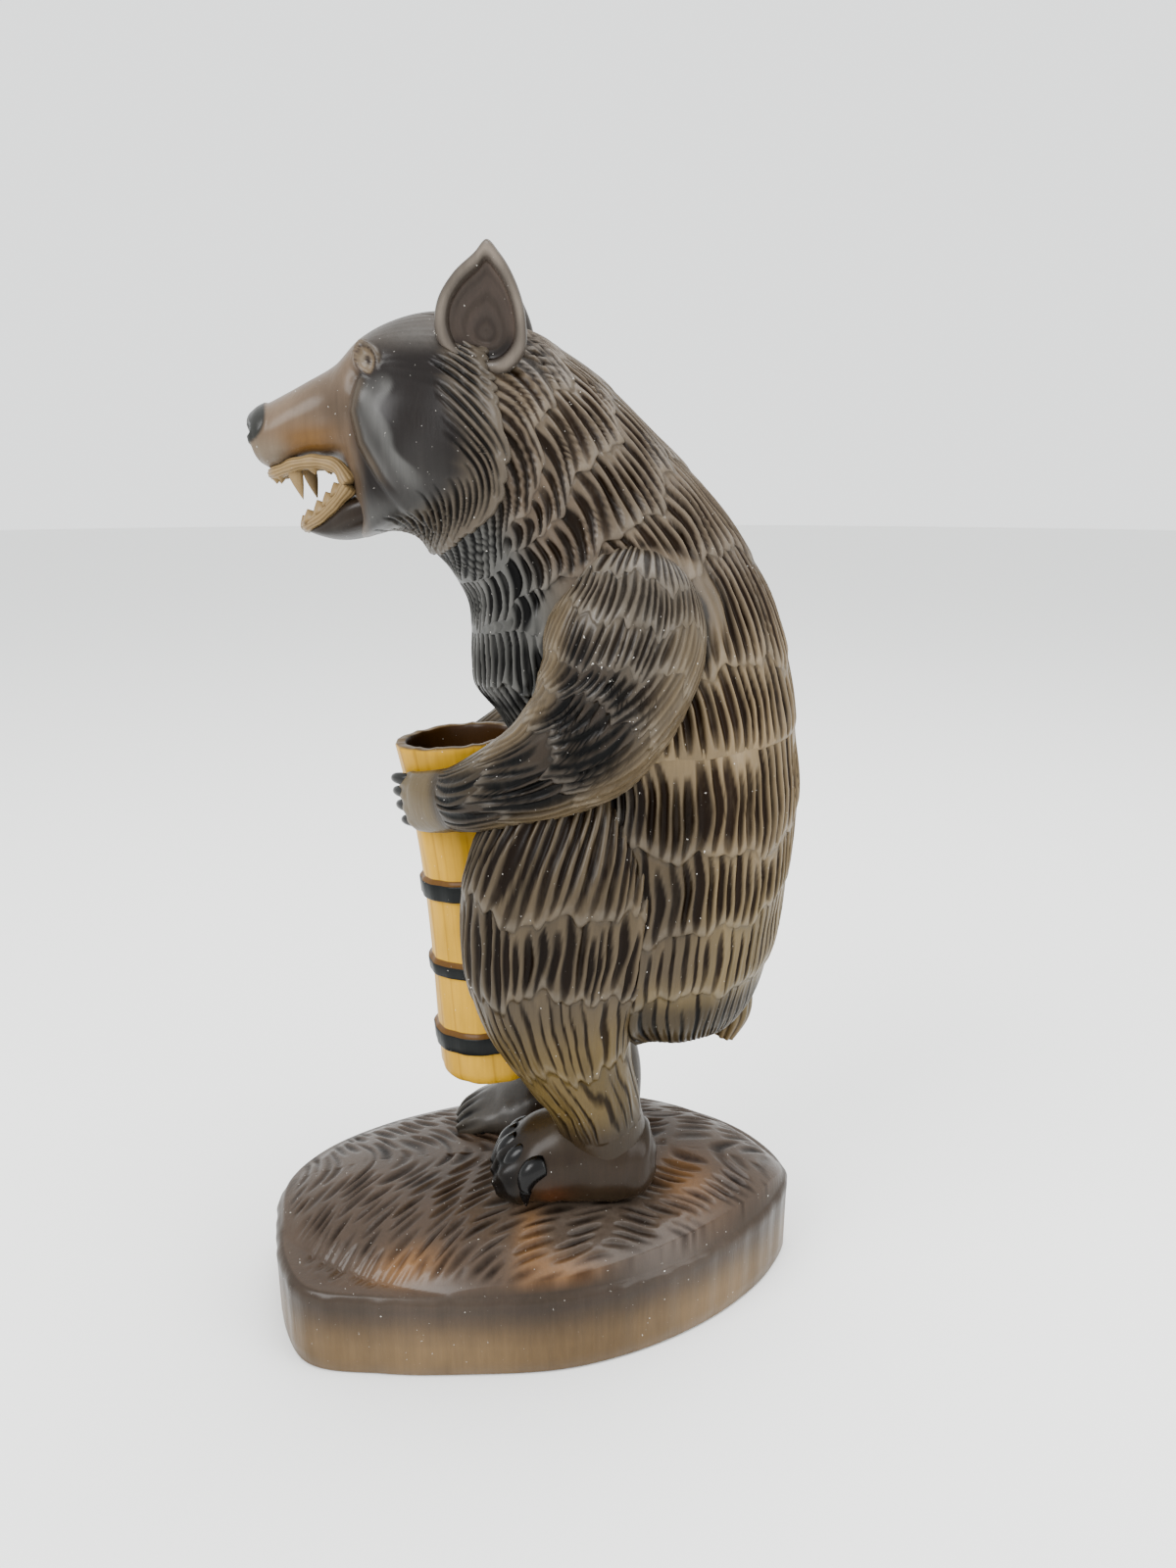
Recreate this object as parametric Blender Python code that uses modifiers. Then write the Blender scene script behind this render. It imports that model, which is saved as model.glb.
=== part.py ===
"""A bear carved from one block of wood, standing on its plinth with a barrel in its paws.

The bear faces -Y and its left side is +X. The plinth's underside lies on Z = 0 with the
frame's origin at its centre. Rump, trunk and head are one skin over a row of sections, the
limbs are skins along bent paths, and the plinth and the barrel follow their own sizes.
The real thing is one block. Here the barrel is parted from the bear along the barrel's
outside, so that collision keeps its inside open, with a hair's gap left between them.

The figure's pose, proportions and carving are drawn on a bear DRAWN_HEIGHT units high,
measured up from the plinth's rim, and come out as shares of FIGURE_HEIGHT.
"""

import bpy
import bmesh
import numpy as np
from math import cos, pi, radians, sin

# Driving dimensions, in metres

FIGURE_HEIGHT = 0.275
PLINTH_LENGTH = 0.163
PLINTH_WIDTH = 0.107
PLINTH_THICKNESS = 0.025
PLINTH_EDGE = 0.0025
PLINTH_DRAFT = 0.0005
MOUND_RISE = 0.013
MOUND_FULLER_BEHIND = 0.35
MOUND_TWIST = 0.60

BARREL_HEIGHT = 0.103
BARREL_MOUTH_RADIUS = 0.0180
BARREL_FOOT_RADIUS = 0.0165
BARREL_WAIST = 0.0026
BARREL_WALL = 0.0030
BARREL_FLOOR = 0.0040
BARREL_FOOT_ROUND = 0.0045
BARREL_LEAN = radians(5.1)
HOOP_PROUD = 0.0012
HOOP_LEDGE = 0.0012
HOLLOW_OVER_RIM = 0.0004
PARTING_GAP = 0.0003

# Carving, in metres

ROW_LENGTH = 0.0175
ROW_STEP = 0.0009
LOCK_DEPTH = 0.0007
GROUND_CUT_PITCH = 0.0110
GROUND_CUT_DEPTH = 0.0006
UNDERSIDE_EDGE = 0.0008

# The figure's drawing is read in units of which its height holds this many

DRAWN_HEIGHT = 275.0
UNIT = FIGURE_HEIGHT / DRAWN_HEIGHT

# Hoops from the foot up: middle and height as shares of the barrel's height

HOOPS = ((0.135, 0.050), (0.352, 0.033), (0.585, 0.047))

# Where the back of the barrel's rim meets the chest: y and height above the plinth's rim

BARREL_SEAT = (-2.0, 147.0)

TRUNK_COLUMNS = 46
LIMB_COLUMNS = 18
FOOT_COLUMNS = 12
EAR_COLUMNS = 14
BARREL_STEPS = 20
PLINTH_COLUMNS = 34

# Sections of rump, trunk and head from the tail end to the nose, each through a front or
# lower point and a back or upper point in the middle plane: front y, front z, back y,
# back z, half width, how much wider the back half is than the front, how far the section
# bows back at the sides, and how flat its front half is

BODY_SECTIONS = (
    (37, 58, 52, 58.5, 8, 0.00, 0, 0),
    (27, 59.5, 58, 60.0, 20, 0.00, 0, 0),
    (16, 64, 61.5, 64.5, 29, 0.05, 1, 0),
    (7, 72, 65.5, 72.0, 36, 0.08, 2, 0),
    (1, 85, 70.5, 85.0, 39.5, 0.10, 3, 0),
    (0, 101, 73.5, 101.0, 41, 0.10, 3, 0),
    (-1, 116, 75.5, 116.0, 41, 0.10, 3, 0),
    (-2, 130, 76.5, 131.0, 40, 0.08, 2, 0),
    (-3, 143, 75.5, 146.0, 39, 0.05, 1, 0),
    (-8, 152, 74, 160.0, 38, 0.00, 0, 0),
    (-14, 160, 71.2, 173.0, 37, -0.03, 0, 0),
    (-15.5, 168, 66, 187.5, 36.5, -0.03, 1, 0),
    (-15, 176, 59.3, 199.0, 35.5, -0.03, 2, 0),
    (-16, 184, 50.5, 211.0, 33.5, -0.03, 3, 0),
    (-20, 191, 38.6, 223.4, 31.5, 0.00, 5, 0),
    (-25, 197, 25.5, 236.4, 29.5, 0.00, 8, 0),
    (-30, 201, 12.8, 246.4, 28.5, 0.00, 11, 0),
    (-35.5, 202, 3, 252.5, 28, -0.03, 12, 0),
    (-40, 201, -8, 255.0, 27.5, -0.08, 11, 0),
    (-44, 200.5, -18, 257.0, 26, -0.15, 8, 0.1),
    (-45, 205, -28, 256.5, 23.5, -0.10, 5, 0.2),
    (-45.5, 212, -35, 254.5, 21, 0.00, 3, 0.4),
    (-47, 218.5, -41, 251.5, 17.5, 0.05, 1, 0.5),
    (-53, 220.5, -48, 245.0, 14.5, 0.05, 0, 0.55),
    (-59, 220, -57, 240.0, 12.5, 0.00, 0, 0.55),
    (-64.5, 218.3, -66, 235.5, 11.5, -0.05, 0, 0.5),
    (-68, 218.5, -70.5, 233.3, 9.8, 0.00, 0, 0.4),
    (-70.3, 220.5, -72.6, 231.0, 7, 0.00, 0, 0.3),
    (-71.5, 223, -73.2, 229.0, 3, 0.00, 0, 0),
)
RUFF_SECTION = 17
CHEEK_SECTION = 19

# Local pushes in and out of the face: x, y, z on the left side, reach and push

FACE_MARKS = (
    (19, -38, 243, 5.5, -2.2),
    (16, -42, 250, 4.5, 1.8),
    (18.5, -39.5, 243.5, 2.6, 1.8),
    (23, -35, 230, 9, 1.5),
    (13, -49, 233, 6, -1.2),
    (0, -47, 248, 5, -0.8),
    (4.5, -72.5, 228.5, 2.2, -1.0),
)

# Sections of the lower jaw from its root in the throat to the chin: lip y, lip z,
# underside y, underside z and half width

JAW_SECTIONS = (
    (-34, 214, -34, 203, 16),
    (-41, 213, -39, 201.5, 16.5),
    (-45.5, 211.5, -44, 200, 15.5),
    (-50, 207.5, -49.5, 199.5, 13),
    (-54.5, 204, -54.5, 200.5, 9.8),
    (-57.5, 203, -57.5, 201.5, 6),
)

# Gums: the ridge inside each lip from the left corner round the front, as x, y, z,
# half height and half thickness; the right half mirrors it

UPPER_GUM = (
    (14, -45, 214.5, 2.5, 2.0),
    (12.5, -47.5, 218.5, 2.2, 1.8),
    (11, -52.5, 219.8, 2.2, 1.8),
    (9.5, -58.5, 219.3, 2.2, 1.8),
    (7, -63, 218, 2.0, 1.8),
    (3.5, -66, 217.2, 1.9, 1.7),
)
LOWER_GUM = (
    (14, -44, 213.5, 2.5, 2.0),
    (12.5, -47.5, 210.5, 2.2, 1.8),
    (10.5, -51.5, 207, 2.0, 1.8),
    (8, -55.5, 204.5, 1.9, 1.7),
    (4, -58, 203.5, 1.8, 1.7),
)

# Teeth: root, point and root radius, drawn on the bear's left side

TEETH = (
    ((8.3, -60.5, 219), (8.3, -58, 208.5), 1.9),
    ((2.2, -66.3, 217.5), (2.2, -66.3, 213.6), 1.6),
    ((9.8, -55, 219.5), (9.6, -54.5, 215.6), 1.8),
    ((11.3, -51, 220), (10.6, -50.5, 216.4), 1.8),
    ((7.2, -56, 204.5), (7.4, -58.5, 210.5), 1.7),
    ((2.2, -58.3, 203.5), (2.2, -60.5, 206.8), 1.5),
    ((10, -52, 207), (9.8, -53.5, 212.3), 2.0),
    ((11.8, -48.5, 210), (11.2, -49.8, 214.6), 2.0),
)

# Sections of the left arm from the shoulder to the wrist: middle x, y, z, half depth
# seen from the side and half thickness across

ARM_SECTIONS = (
    (22, 29, 201, 6, 6),
    (25.5, 28.5, 197, 13.5, 11.5),
    (29, 28, 189, 18.5, 14.5),
    (32, 26.5, 178, 20.5, 16),
    (33.5, 24, 166, 19.5, 16),
    (34, 18, 154, 18, 15.5),
    (33, 8, 145, 15, 14.5),
    (31, -2, 139.5, 12.2, 12.5),
    (28, -11, 135.5, 10.2, 11),
)

# The paw's sections carry on from the wrist round the barrel: turn in degrees from the
# barrel's front, height, half depth and half thickness, each pressed into its side

PAW_SECTIONS = (
    (90, 132.5, 8.8, 8.5),
    (74, 131.0, 8.6, 7.0),
    (58, 130.0, 8.2, 5.6),
    (44, 129.5, 6.0, 4.0),
)
PAW_PRESS = 1.3

# Claws of a paw: height, turn at the root and at the point

PAW_CLAWS = ((136.0, 46, 30), (132.0, 44, 25), (127.5, 44, 25), (123.5, 48, 32))
PAW_CLAW_RADIUS = 2.2

# Sections of the left leg from the hip to the ankle, laid out like the arm's

LEG_SECTIONS = (
    (22, 17, 139, 9, 8),
    (26, 14.5, 131, 19.5, 13),
    (29, 11.5, 119, 25, 16.5),
    (30, 9.5, 104, 26.5, 17.5),
    (30, 8.5, 91, 25.5, 17.5),
    (29.5, 9, 78, 22.5, 16.5),
    (28.5, 11.5, 66, 18.5, 15),
    (27, 14.5, 56, 15, 13.5),
    (25, 17.5, 48, 13.3, 12.5),
    (23, 19.5, 40, 12.6, 12),
    (22, 21.8, 30, 12.6, 11.5),
    (21.5, 22.5, 18, 12.5, 11.5),
)
LEG_FUR_END = 8

# Sections of each foot from the heel to the toes: x, y, height of the middle over the
# ground, half height and half width; the left foot stands square, the right steps out

LEFT_FOOT = (
    (21.5, 36.5, 11, 5, 5),
    (21.5, 34, 11, 9.5, 9),
    (21.5, 28, 12, 13, 11.5),
    (21.5, 18, 13, 14.5, 12.5),
    (21, 8, 12, 13.5, 13.5),
    (20.5, 0, 9.5, 11, 14),
    (20, -6, 6.5, 8, 13.5),
    (20, -9, 5, 5, 11),
)
RIGHT_FOOT = (
    (-21.5, 32, 9, 4, 4),
    (-21.5, 29.5, 9, 9, 9),
    (-21.5, 20, 10, 12, 11.5),
    (-21.5, 7, 8.5, 11.5, 12.5),
    (-21.5, -3, 6, 9, 13),
    (-21.5, -11, 4, 7, 12.5),
    (-21.5, -16, 2.5, 5, 11.5),
    (-21.5, -20, 1.5, 2.5, 9.5),
)
CLAWS_ON_A_FOOT = 5
FOOT_CLAW_RADIUS = 2.6

# Sections of the tail from its root down to the cut end: x, y, z, half depth, half width

TAIL_SECTIONS = (
    (0, 56, 80, 7, 8),
    (0, 59.5, 70, 6.5, 8.5),
    (0, 60.5, 62, 5.5, 7.5),
    (0, 58, 53, 3.5, 5),
)

# The ear's leaf outline seen from the side, from the root round the front to the tip and
# down the back: forward and up from the ear's middle. It leans out with its height by
# EAR_SPREAD and stands out towards the back by EAR_TURN

EAR_OUTLINE = (
    (2, -14), (9.5, -10.5), (13, -3.5), (12, 3.5), (7.5, 9.5), (2, 13.5), (-1, 16),
    (-4, 13), (-8, 6), (-10, -2), (-9.5, -9), (-4, -14),
)
EAR_MIDDLE = (20.5, -8, 254.5)
EAR_SPREAD = 0.24
EAR_TURN = 0.42
EAR_THICKNESS = 5.0
EAR_DISH = 3.4

# The plinth's top outline as shares of half its width and half its length, from the
# back round the bear's left side, with one blunt corner at the left front

PLINTH_OUTLINE = (
    (-0.15, 1.00), (0.14, 0.92), (0.46, 0.745), (0.75, 0.485), (0.95, 0.16), (1.00, -0.20),
    (0.99, -0.50), (0.90, -0.78), (0.67, -0.88), (0.36, -0.945), (0.00, -0.98),
    (-0.34, -0.88), (-0.62, -0.66), (-0.80, -0.34), (-0.93, 0.05), (-1.00, 0.42),
    (-0.88, 0.68), (-0.56, 0.91),
)


def remove_everything():
    for old in list(bpy.data.objects):
        bpy.data.objects.remove(old, do_unlink=True)


def new_collection(name):
    collection = bpy.data.collections.new(name)
    bpy.context.scene.collection.children.link(collection)
    return collection


def varnished(name, colour):
    material = bpy.data.materials.new(name)
    material.use_nodes = True
    shader = material.node_tree.nodes["Principled BSDF"]
    shader.inputs["Base Color"].default_value = (*colour, 1.0)
    shader.inputs["Roughness"].default_value = 0.38
    shader.inputs["Metallic"].default_value = 0.0
    return material


def skin(name, rings, collection, poles=None):
    """A closed mesh over a stack of rings (ring, column, xyz), each end drawn to a pole.

    The poles are the middles of the end rings unless they are given.
    """
    rings = np.asarray(rings, dtype=float)
    count, columns = rings.shape[:2]
    if poles is None:
        poles = rings[[0, -1]].mean(axis=1)
    points = np.vstack([rings.reshape(-1, 3), poles])
    faces = []
    for ring in range(count - 1):
        for column in range(columns):
            right = (column + 1) % columns
            low = ring * columns
            high = low + columns
            faces.append((low + column, low + right, high + right, high + column))
    top = (count - 1) * columns
    for column in range(columns):
        right = (column + 1) % columns
        faces.append((right, column, count * columns))
        faces.append((top + column, top + right, count * columns + 1))
    mesh = bpy.data.meshes.new(name)
    mesh.from_pydata(points.tolist(), [], faces)
    return finish_mesh(name, mesh, collection)


def finish_mesh(name, mesh, collection):
    work = bmesh.new()
    work.from_mesh(mesh)
    bmesh.ops.recalc_face_normals(work, faces=work.faces)
    work.to_mesh(mesh)
    work.free()
    part = bpy.data.objects.new(name, mesh)
    collection.objects.link(part)
    return part


def knots_along(points):
    """Distance run along a row of points, from zero at the first."""
    steps = np.linalg.norm(np.diff(points, axis=0), axis=1)
    return np.concatenate([[0.0], np.cumsum(steps)])


def smooth_read(knots, rows, at):
    """The rows read as one smooth curve at the distances asked for.

    Between two rows the curve is the Hermite cubic whose slopes are those across each
    row's two neighbours.
    """
    slopes = np.gradient(rows, knots, axis=0)
    at = np.clip(at, knots[0], knots[-1])
    span = np.clip(np.searchsorted(knots, at, side="right") - 1, 0, len(knots) - 2)
    length = knots[span + 1] - knots[span]
    s = ((at - knots[span]) / length)[..., None]
    length = length[..., None]
    return (
        (2 * s**3 - 3 * s**2 + 1) * rows[span]
        + (s**3 - 2 * s**2 + s) * length * slopes[span]
        + (3 * s**2 - 2 * s**3) * rows[span + 1]
        + (s**3 - s**2) * length * slopes[span + 1]
    )


def fur_rows(start, end, columns):
    """Places along a skin and lifts off it for rows of locks, from the low end up.

    Each row is two rings: its low edge stands proud and ragged, and its high edge slips
    under the next row. Gouge cuts and ridges take turns round the ring and change over
    from row to row.
    """
    count = max(2, int(round((end - start) * UNIT / ROW_LENGTH)))
    length = (end - start) / count
    column = np.arange(columns)

    def ragged_edge(row):
        ridge = np.where((column + row) % 2 == 0, 1.0, -1.0)
        wander = 0.07 * np.sin(column * 1.9 + row * 2.3) + 0.04 * np.sin(column * 4.1 + row)
        inside = 0 < row < count
        return ridge, start + (row + (wander - 0.05 * ridge) * inside) * length

    places = []
    lifts = []
    for row in range(count):
        ridge, low = ragged_edge(row)
        high = ragged_edge(row + 1)[1] - 0.04 * length
        places += [low, high]
        lifts += [ROW_STEP + LOCK_DEPTH * ridge, 0.6 * LOCK_DEPTH * ridge]
    return places, lifts


def body_knots():
    """Distances along the middle of the body's sections."""
    table = np.array(BODY_SECTIONS, dtype=float)
    return knots_along((table[:, 0:2] + table[:, 2:4]) / 2)


def flattened(wave, flat):
    """A cosine whose half below zero is squared off by the share flat."""
    return np.where(wave < 0, -np.abs(wave) ** (1 - flat), wave)


def body_points(places, lifts):
    """Points of the body's skin at distances along its sections (ring, column).

    Point = middle + back direction * half depth * cos(turn) + X * half width * sin(turn)
    * (1 + fuller * cos(turn)) + bow * sin(turn)^2 across the section.
    """
    table = np.array(BODY_SECTIONS, dtype=float)
    rows = smooth_read(body_knots(), table, places)
    front = rows[..., 0:2]
    back = rows[..., 2:4]
    width = rows[..., 4]
    fuller = rows[..., 5]
    bow = rows[..., 6]
    turn = np.arange(places.shape[1]) * 2 * pi / places.shape[1]
    sine = np.sin(turn)
    cosine = flattened(np.cos(turn), np.clip(rows[..., 7], 0, 0.9))
    middle = (front + back) / 2
    half = (back - front) / 2
    depth = np.hypot(half[..., 0], half[..., 1])
    across = np.stack([half[..., 1], -half[..., 0]], axis=-1) / depth[..., None]
    side = width * sine * (1 + fuller * cosine)
    plane = middle + half * cosine[..., None] + across * (bow * sine**2)[..., None]
    points = np.stack([side, plane[..., 0], plane[..., 1]], axis=-1)
    out_plane = half * (np.cos(turn) / depth**2)[..., None]
    out = np.stack([sine / width, out_plane[..., 0], out_plane[..., 1]], axis=-1)
    out = out / np.linalg.norm(out, axis=-1, keepdims=True)
    push = np.zeros(points.shape[:-1])
    for x, y, z, reach, depth_in in FACE_MARKS:
        for side_x in {x, -x}:
            away = np.linalg.norm(points - np.array([side_x, y, z]), axis=-1)
            push += depth_in * np.exp(-((away / reach) ** 2))
    return (points + out * push[..., None]) * UNIT + out * lifts[..., None]


def limb_points(sections, places, lifts, reference=(1.0, 0.0, 0.0)):
    """Points of a limb's skin round a bent path through its sections' middles.

    Each ring lies square to the path: point = middle + across * half thickness *
    sin(turn) + up * half depth * cos(turn), with across as near to the reference
    direction as it can be.
    """
    table = np.array(sections, dtype=float)
    knots = knots_along(table[:, 0:3])
    rows = smooth_read(knots, table, places)
    step = 0.5
    ahead = smooth_read(knots, table, places + step)[..., 0:3]
    behind = smooth_read(knots, table, places - step)[..., 0:3]
    path = ahead - behind
    path = path / np.linalg.norm(path, axis=-1, keepdims=True)
    reference = np.array(reference)
    across = reference - path * (path @ reference)[..., None]
    across = across / np.linalg.norm(across, axis=-1, keepdims=True)
    up = np.cross(across, path)
    turn = np.arange(places.shape[1]) * 2 * pi / places.shape[1]
    sine = np.sin(turn)
    cosine = np.cos(turn)
    depth = rows[..., 3]
    width = rows[..., 4]
    flat = up * (depth * cosine)[..., None] + across * (width * sine)[..., None]
    out = up * (cosine / depth)[..., None] + across * (sine / width)[..., None]
    out = out / np.linalg.norm(out, axis=-1, keepdims=True)
    return (rows[..., 0:3] + flat) * UNIT + out * lifts[..., None]


def on_plinth(points, side=1.0):
    """Moves the figure's points up to the plinth's rim, mirrored for the right side."""
    return points * np.array([side, 1.0, 1.0]) + np.array([0.0, 0.0, PLINTH_THICKNESS])


def rings_at(distances, columns):
    return [np.full(columns, distance) for distance in distances]


def body(collection):
    """Rump, trunk and head: rows of locks up to the ruff, then the smooth face."""
    knots = body_knots()
    ruff = knots[RUFF_SECTION]
    cheek = knots[CHEEK_SECTION]
    column = np.arange(TRUNK_COLUMNS)
    level = np.zeros(TRUNK_COLUMNS)
    places, lifts = fur_rows(knots[1], ruff, TRUNK_COLUMNS)
    rump = rings_at(np.linspace(knots[0], knots[1] * 0.6, 2), TRUNK_COLUMNS)
    ridge = np.where(column % 2 == 0, 1.0, -1.0)
    ruff_edge = ruff - 1.0 * ridge
    fringe = [ruff_edge, (ruff_edge + cheek) / 2]
    fringe_lifts = [1.7 * ROW_STEP + LOCK_DEPTH * ridge, ROW_STEP + LOCK_DEPTH * ridge]
    face = rings_at(np.linspace(cheek, knots[-1], 10), TRUNK_COLUMNS)
    places = np.array(rump + places + fringe + face)
    lifts = np.array([level] * len(rump) + lifts + fringe_lifts + [level] * len(face))
    return skin("body", on_plinth(body_points(places, lifts)), collection)


def limb(name, sections, fur_end, columns, collection, side=1.0):
    """A limb with rows of locks down to its fur_end section and a smooth end."""
    knots = knots_along(np.array(sections, dtype=float)[:, 0:3])
    level = np.zeros(columns)
    high = knots[fur_end]
    places, lifts = fur_rows(0, high - knots[1], columns)
    places = [high - place for place in places][::-1]
    first = rings_at(knots[:1], columns)
    rest = rings_at(knots[fur_end + 1:], columns)
    lifts = [level] + lifts[::-1] + [level] * len(rest)
    points = limb_points(sections, np.array(first + places + rest), np.array(lifts))
    return skin(name, on_plinth(points, side), collection)


def smooth_limb(name, sections, columns, collection, side=1.0, reference=(1.0, 0.0, 0.0)):
    """A limb with no fur, one ring at each of its sections."""
    knots = knots_along(np.array(sections, dtype=float)[:, 0:3])
    places = np.array(rings_at(knots, columns))
    points = limb_points(sections, places, 0 * places, reference)
    return skin(name, on_plinth(points, side), collection)


def jaw(collection):
    """The lower jaw, flat on top between the gums."""
    columns = 16
    turn = np.arange(columns) * 2 * pi / columns
    rings = []
    for lip_y, lip_z, low_y, low_z, width in JAW_SECTIONS:
        middle = np.array([0.0, (lip_y + low_y) / 2, (lip_z + low_z) / 2])
        half = np.array([0.0, (low_y - lip_y) / 2, (low_z - lip_z) / 2])
        ring = middle + np.outer(flattened(np.cos(turn), 0.5), half)
        ring[:, 0] = width * np.sin(turn)
        rings.append(ring)
    return skin("jaw", on_plinth(np.array(rings) * UNIT), collection)


def gum(name, sections, collection):
    """A ridge round the inside of a lip, from the left corner to the right one."""
    right = [(-x, y, z, depth, width) for x, y, z, depth, width in reversed(sections)]
    return smooth_limb(name, list(sections) + right, 6, collection, 1.0, (0.0, 0.0, 1.0))


def closed_outline(points, columns):
    """A smooth closed curve through the points, read at evenly spaced places."""
    points = np.array(points, dtype=float)
    around = np.vstack([points[-2:], points, points[:3]])
    knots = knots_along(around)
    start = knots[2]
    run = knots[2 + len(points)] - start
    return smooth_read(knots, around, start + run * np.arange(columns) / columns)


def ear(name, side, collection):
    """A leaf with a dished outer face: its rings shrink from the outline to the hollow."""
    outline = closed_outline(EAR_OUTLINE, EAR_COLUMNS)
    hollow = 0.5 - EAR_DISH / EAR_THICKNESS
    shells = (
        (0.2, -0.6), (0.75, -0.5), (1.0, -0.1), (1.0, 0.25), (0.87, 0.5),
        (0.74, 0.3), (0.45, hollow), (0.12, hollow - 0.05),
    )
    rings = []
    for share, depth in shells:
        ring = np.zeros((EAR_COLUMNS, 3))
        ring[:, 1] = -outline[:, 0] * share
        ring[:, 2] = outline[:, 1] * share
        ring[:, 0] = depth * EAR_THICKNESS + EAR_SPREAD * ring[:, 2] + EAR_TURN * ring[:, 1]
        rings.append(ring + np.array(EAR_MIDDLE))
    return skin(name, on_plinth(np.array(rings) * UNIT, side), collection)


def spike(name, root, point, radius, collection, side=1.0):
    """A tooth or claw: a five-sided cone with a belly, from its root to its point.

    It is a stack of two rings and the point, with the root closed.
    """
    root = np.array(root, dtype=float)
    point = np.array(point, dtype=float)
    path = (point - root) / np.linalg.norm(point - root)
    across = np.cross(path, (1.0, 0.0, 0.0))
    across = across / np.linalg.norm(across)
    over = np.cross(path, across)
    turn = np.arange(5) * 2 * pi / 5
    circle = np.outer(np.cos(turn), across) + np.outer(np.sin(turn), over)
    belly = root + (point - root) * 0.5 + radius * 0.75 * circle
    rings = on_plinth(np.array([root + radius * circle, belly]) * UNIT, side)
    poles = on_plinth(np.array([root, point]) * UNIT, side)
    return skin(name, rings, collection, poles)


def barrel_axis():
    """The rim's middle and the way down to the foot, from where the rim meets the chest."""
    seat = np.array([0.0, BARREL_SEAT[0] * UNIT, PLINTH_THICKNESS + BARREL_SEAT[1] * UNIT])
    down = np.array([0.0, sin(BARREL_LEAN), -cos(BARREL_LEAN)])
    forward = np.array([0.0, -cos(BARREL_LEAN), -sin(BARREL_LEAN)])
    return seat + forward * BARREL_MOUTH_RADIUS, down


def barrel_radius(share):
    """Outer radius at a share of the height, drawn in at the waist below the mouth."""
    straight = BARREL_FOOT_RADIUS + (BARREL_MOUTH_RADIUS - BARREL_FOOT_RADIUS) * share
    return straight - BARREL_WAIST * sin(pi * share**1.4)


def beside_barrel(degrees, height, gap):
    """A drawn point by the barrel's side: turned from its front, at a drawn height."""
    rim, down = barrel_axis()
    below = (rim[2] - PLINTH_THICKNESS - height * UNIT) / -down[2]
    share = min(max(1 - below / BARREL_HEIGHT, 0.0), 1.0)
    reach = barrel_radius(share) / UNIT + gap
    middle_y = (rim[1] + down[1] * below) / UNIT
    turn = radians(degrees)
    return reach * sin(turn), middle_y - reach * cos(turn), height


def arm_sections():
    """The drawn arm, carried on by the paw's sections pressed into the barrel's side."""
    rows = list(ARM_SECTIONS)
    for degrees, height, depth, width in PAW_SECTIONS:
        x, y, z = beside_barrel(degrees, height, width - PAW_PRESS)
        rows.append((x, y, z, depth, width))
    return rows


def turned(name, profile, collection):
    """A body of revolution: the profile runs down at +X and turns about Z."""
    mesh = bpy.data.meshes.new(name)
    points = [(radius, 0.0, height) for radius, height in profile]
    mesh.from_pydata(points, [(i, i + 1) for i in range(len(points) - 1)], [])
    part = bpy.data.objects.new(name, mesh)
    collection.objects.link(part)
    screw = part.modifiers.new("turn", "SCREW")
    screw.steps = BARREL_STEPS
    screw.render_steps = BARREL_STEPS
    screw.use_merge_vertices = True
    screw.merge_threshold = 0.00001
    return part


def stand_barrel(part):
    """Sets a barrel body's foot at the low end of the leaning axis."""
    rim, down = barrel_axis()
    part.location = rim + down * BARREL_HEIGHT
    part.rotation_euler = (BARREL_LEAN, 0.0, 0.0)


def barrel(name, collection, gap=0.0):
    """The barrel's outside with its hoops and the sloping ledge on top of each.

    A gap makes it that much bigger all round, as room for the barrel.
    """
    profile = [(0.0, BARREL_HEIGHT), (BARREL_MOUTH_RADIUS, BARREL_HEIGHT)]
    profile.append((barrel_radius(0.88), 0.88 * BARREL_HEIGHT))
    for share, tall in reversed(HOOPS):
        top = share + tall / 2
        bottom = share - tall / 2
        proud = barrel_radius(share) + HOOP_PROUD
        profile.append((barrel_radius(top), top * BARREL_HEIGHT + HOOP_LEDGE))
        profile.append((proud, top * BARREL_HEIGHT))
        profile.append((proud, bottom * BARREL_HEIGHT))
        profile.append((barrel_radius(bottom), bottom * BARREL_HEIGHT))
    middle = BARREL_FOOT_RADIUS - BARREL_FOOT_ROUND
    for turn in (0.0, pi / 4, pi / 2):
        radius = middle + BARREL_FOOT_ROUND * cos(turn)
        profile.append((radius, BARREL_FOOT_ROUND * (1 - sin(turn))))
    profile.append((0.0, 0.0))
    room = []
    for radius, height in profile:
        end = (height == BARREL_HEIGHT) - (height == 0.0)
        room.append((radius + gap * (radius > 0.0), height + gap * end))
    part = turned(name, room, collection)
    stand_barrel(part)
    return part


def barrel_hollow(collection):
    """The cutter for the barrel's inside, open at the rim."""
    profile = [(0.0, BARREL_HEIGHT + HOLLOW_OVER_RIM)]
    profile.append((BARREL_MOUTH_RADIUS - BARREL_WALL, BARREL_HEIGHT + HOLLOW_OVER_RIM))
    for share in (0.85, 0.65, 0.4):
        profile.append((barrel_radius(share) - BARREL_WALL, share * BARREL_HEIGHT))
    profile.append((BARREL_FOOT_RADIUS - BARREL_WALL - BARREL_WAIST / 2, BARREL_FLOOR))
    profile.append((0.0, BARREL_FLOOR))
    part = turned("barrel_hollow", profile, collection)
    stand_barrel(part)
    return part


def mound_height(x, y):
    """Height of the plinth's carved ground over its rim: a low dome, one minus the fourth
    power of the reach, fuller behind the bear, there most of all on its right.
    """
    along = y / (PLINTH_LENGTH / 2)
    across = x / (PLINTH_WIDTH / 2)
    reach = np.hypot(across, along)
    fuller = 1 + MOUND_FULLER_BEHIND * along - MOUND_TWIST * across * along
    return MOUND_RISE * fuller * np.clip(1 - reach**4, 0, 1)


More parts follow.
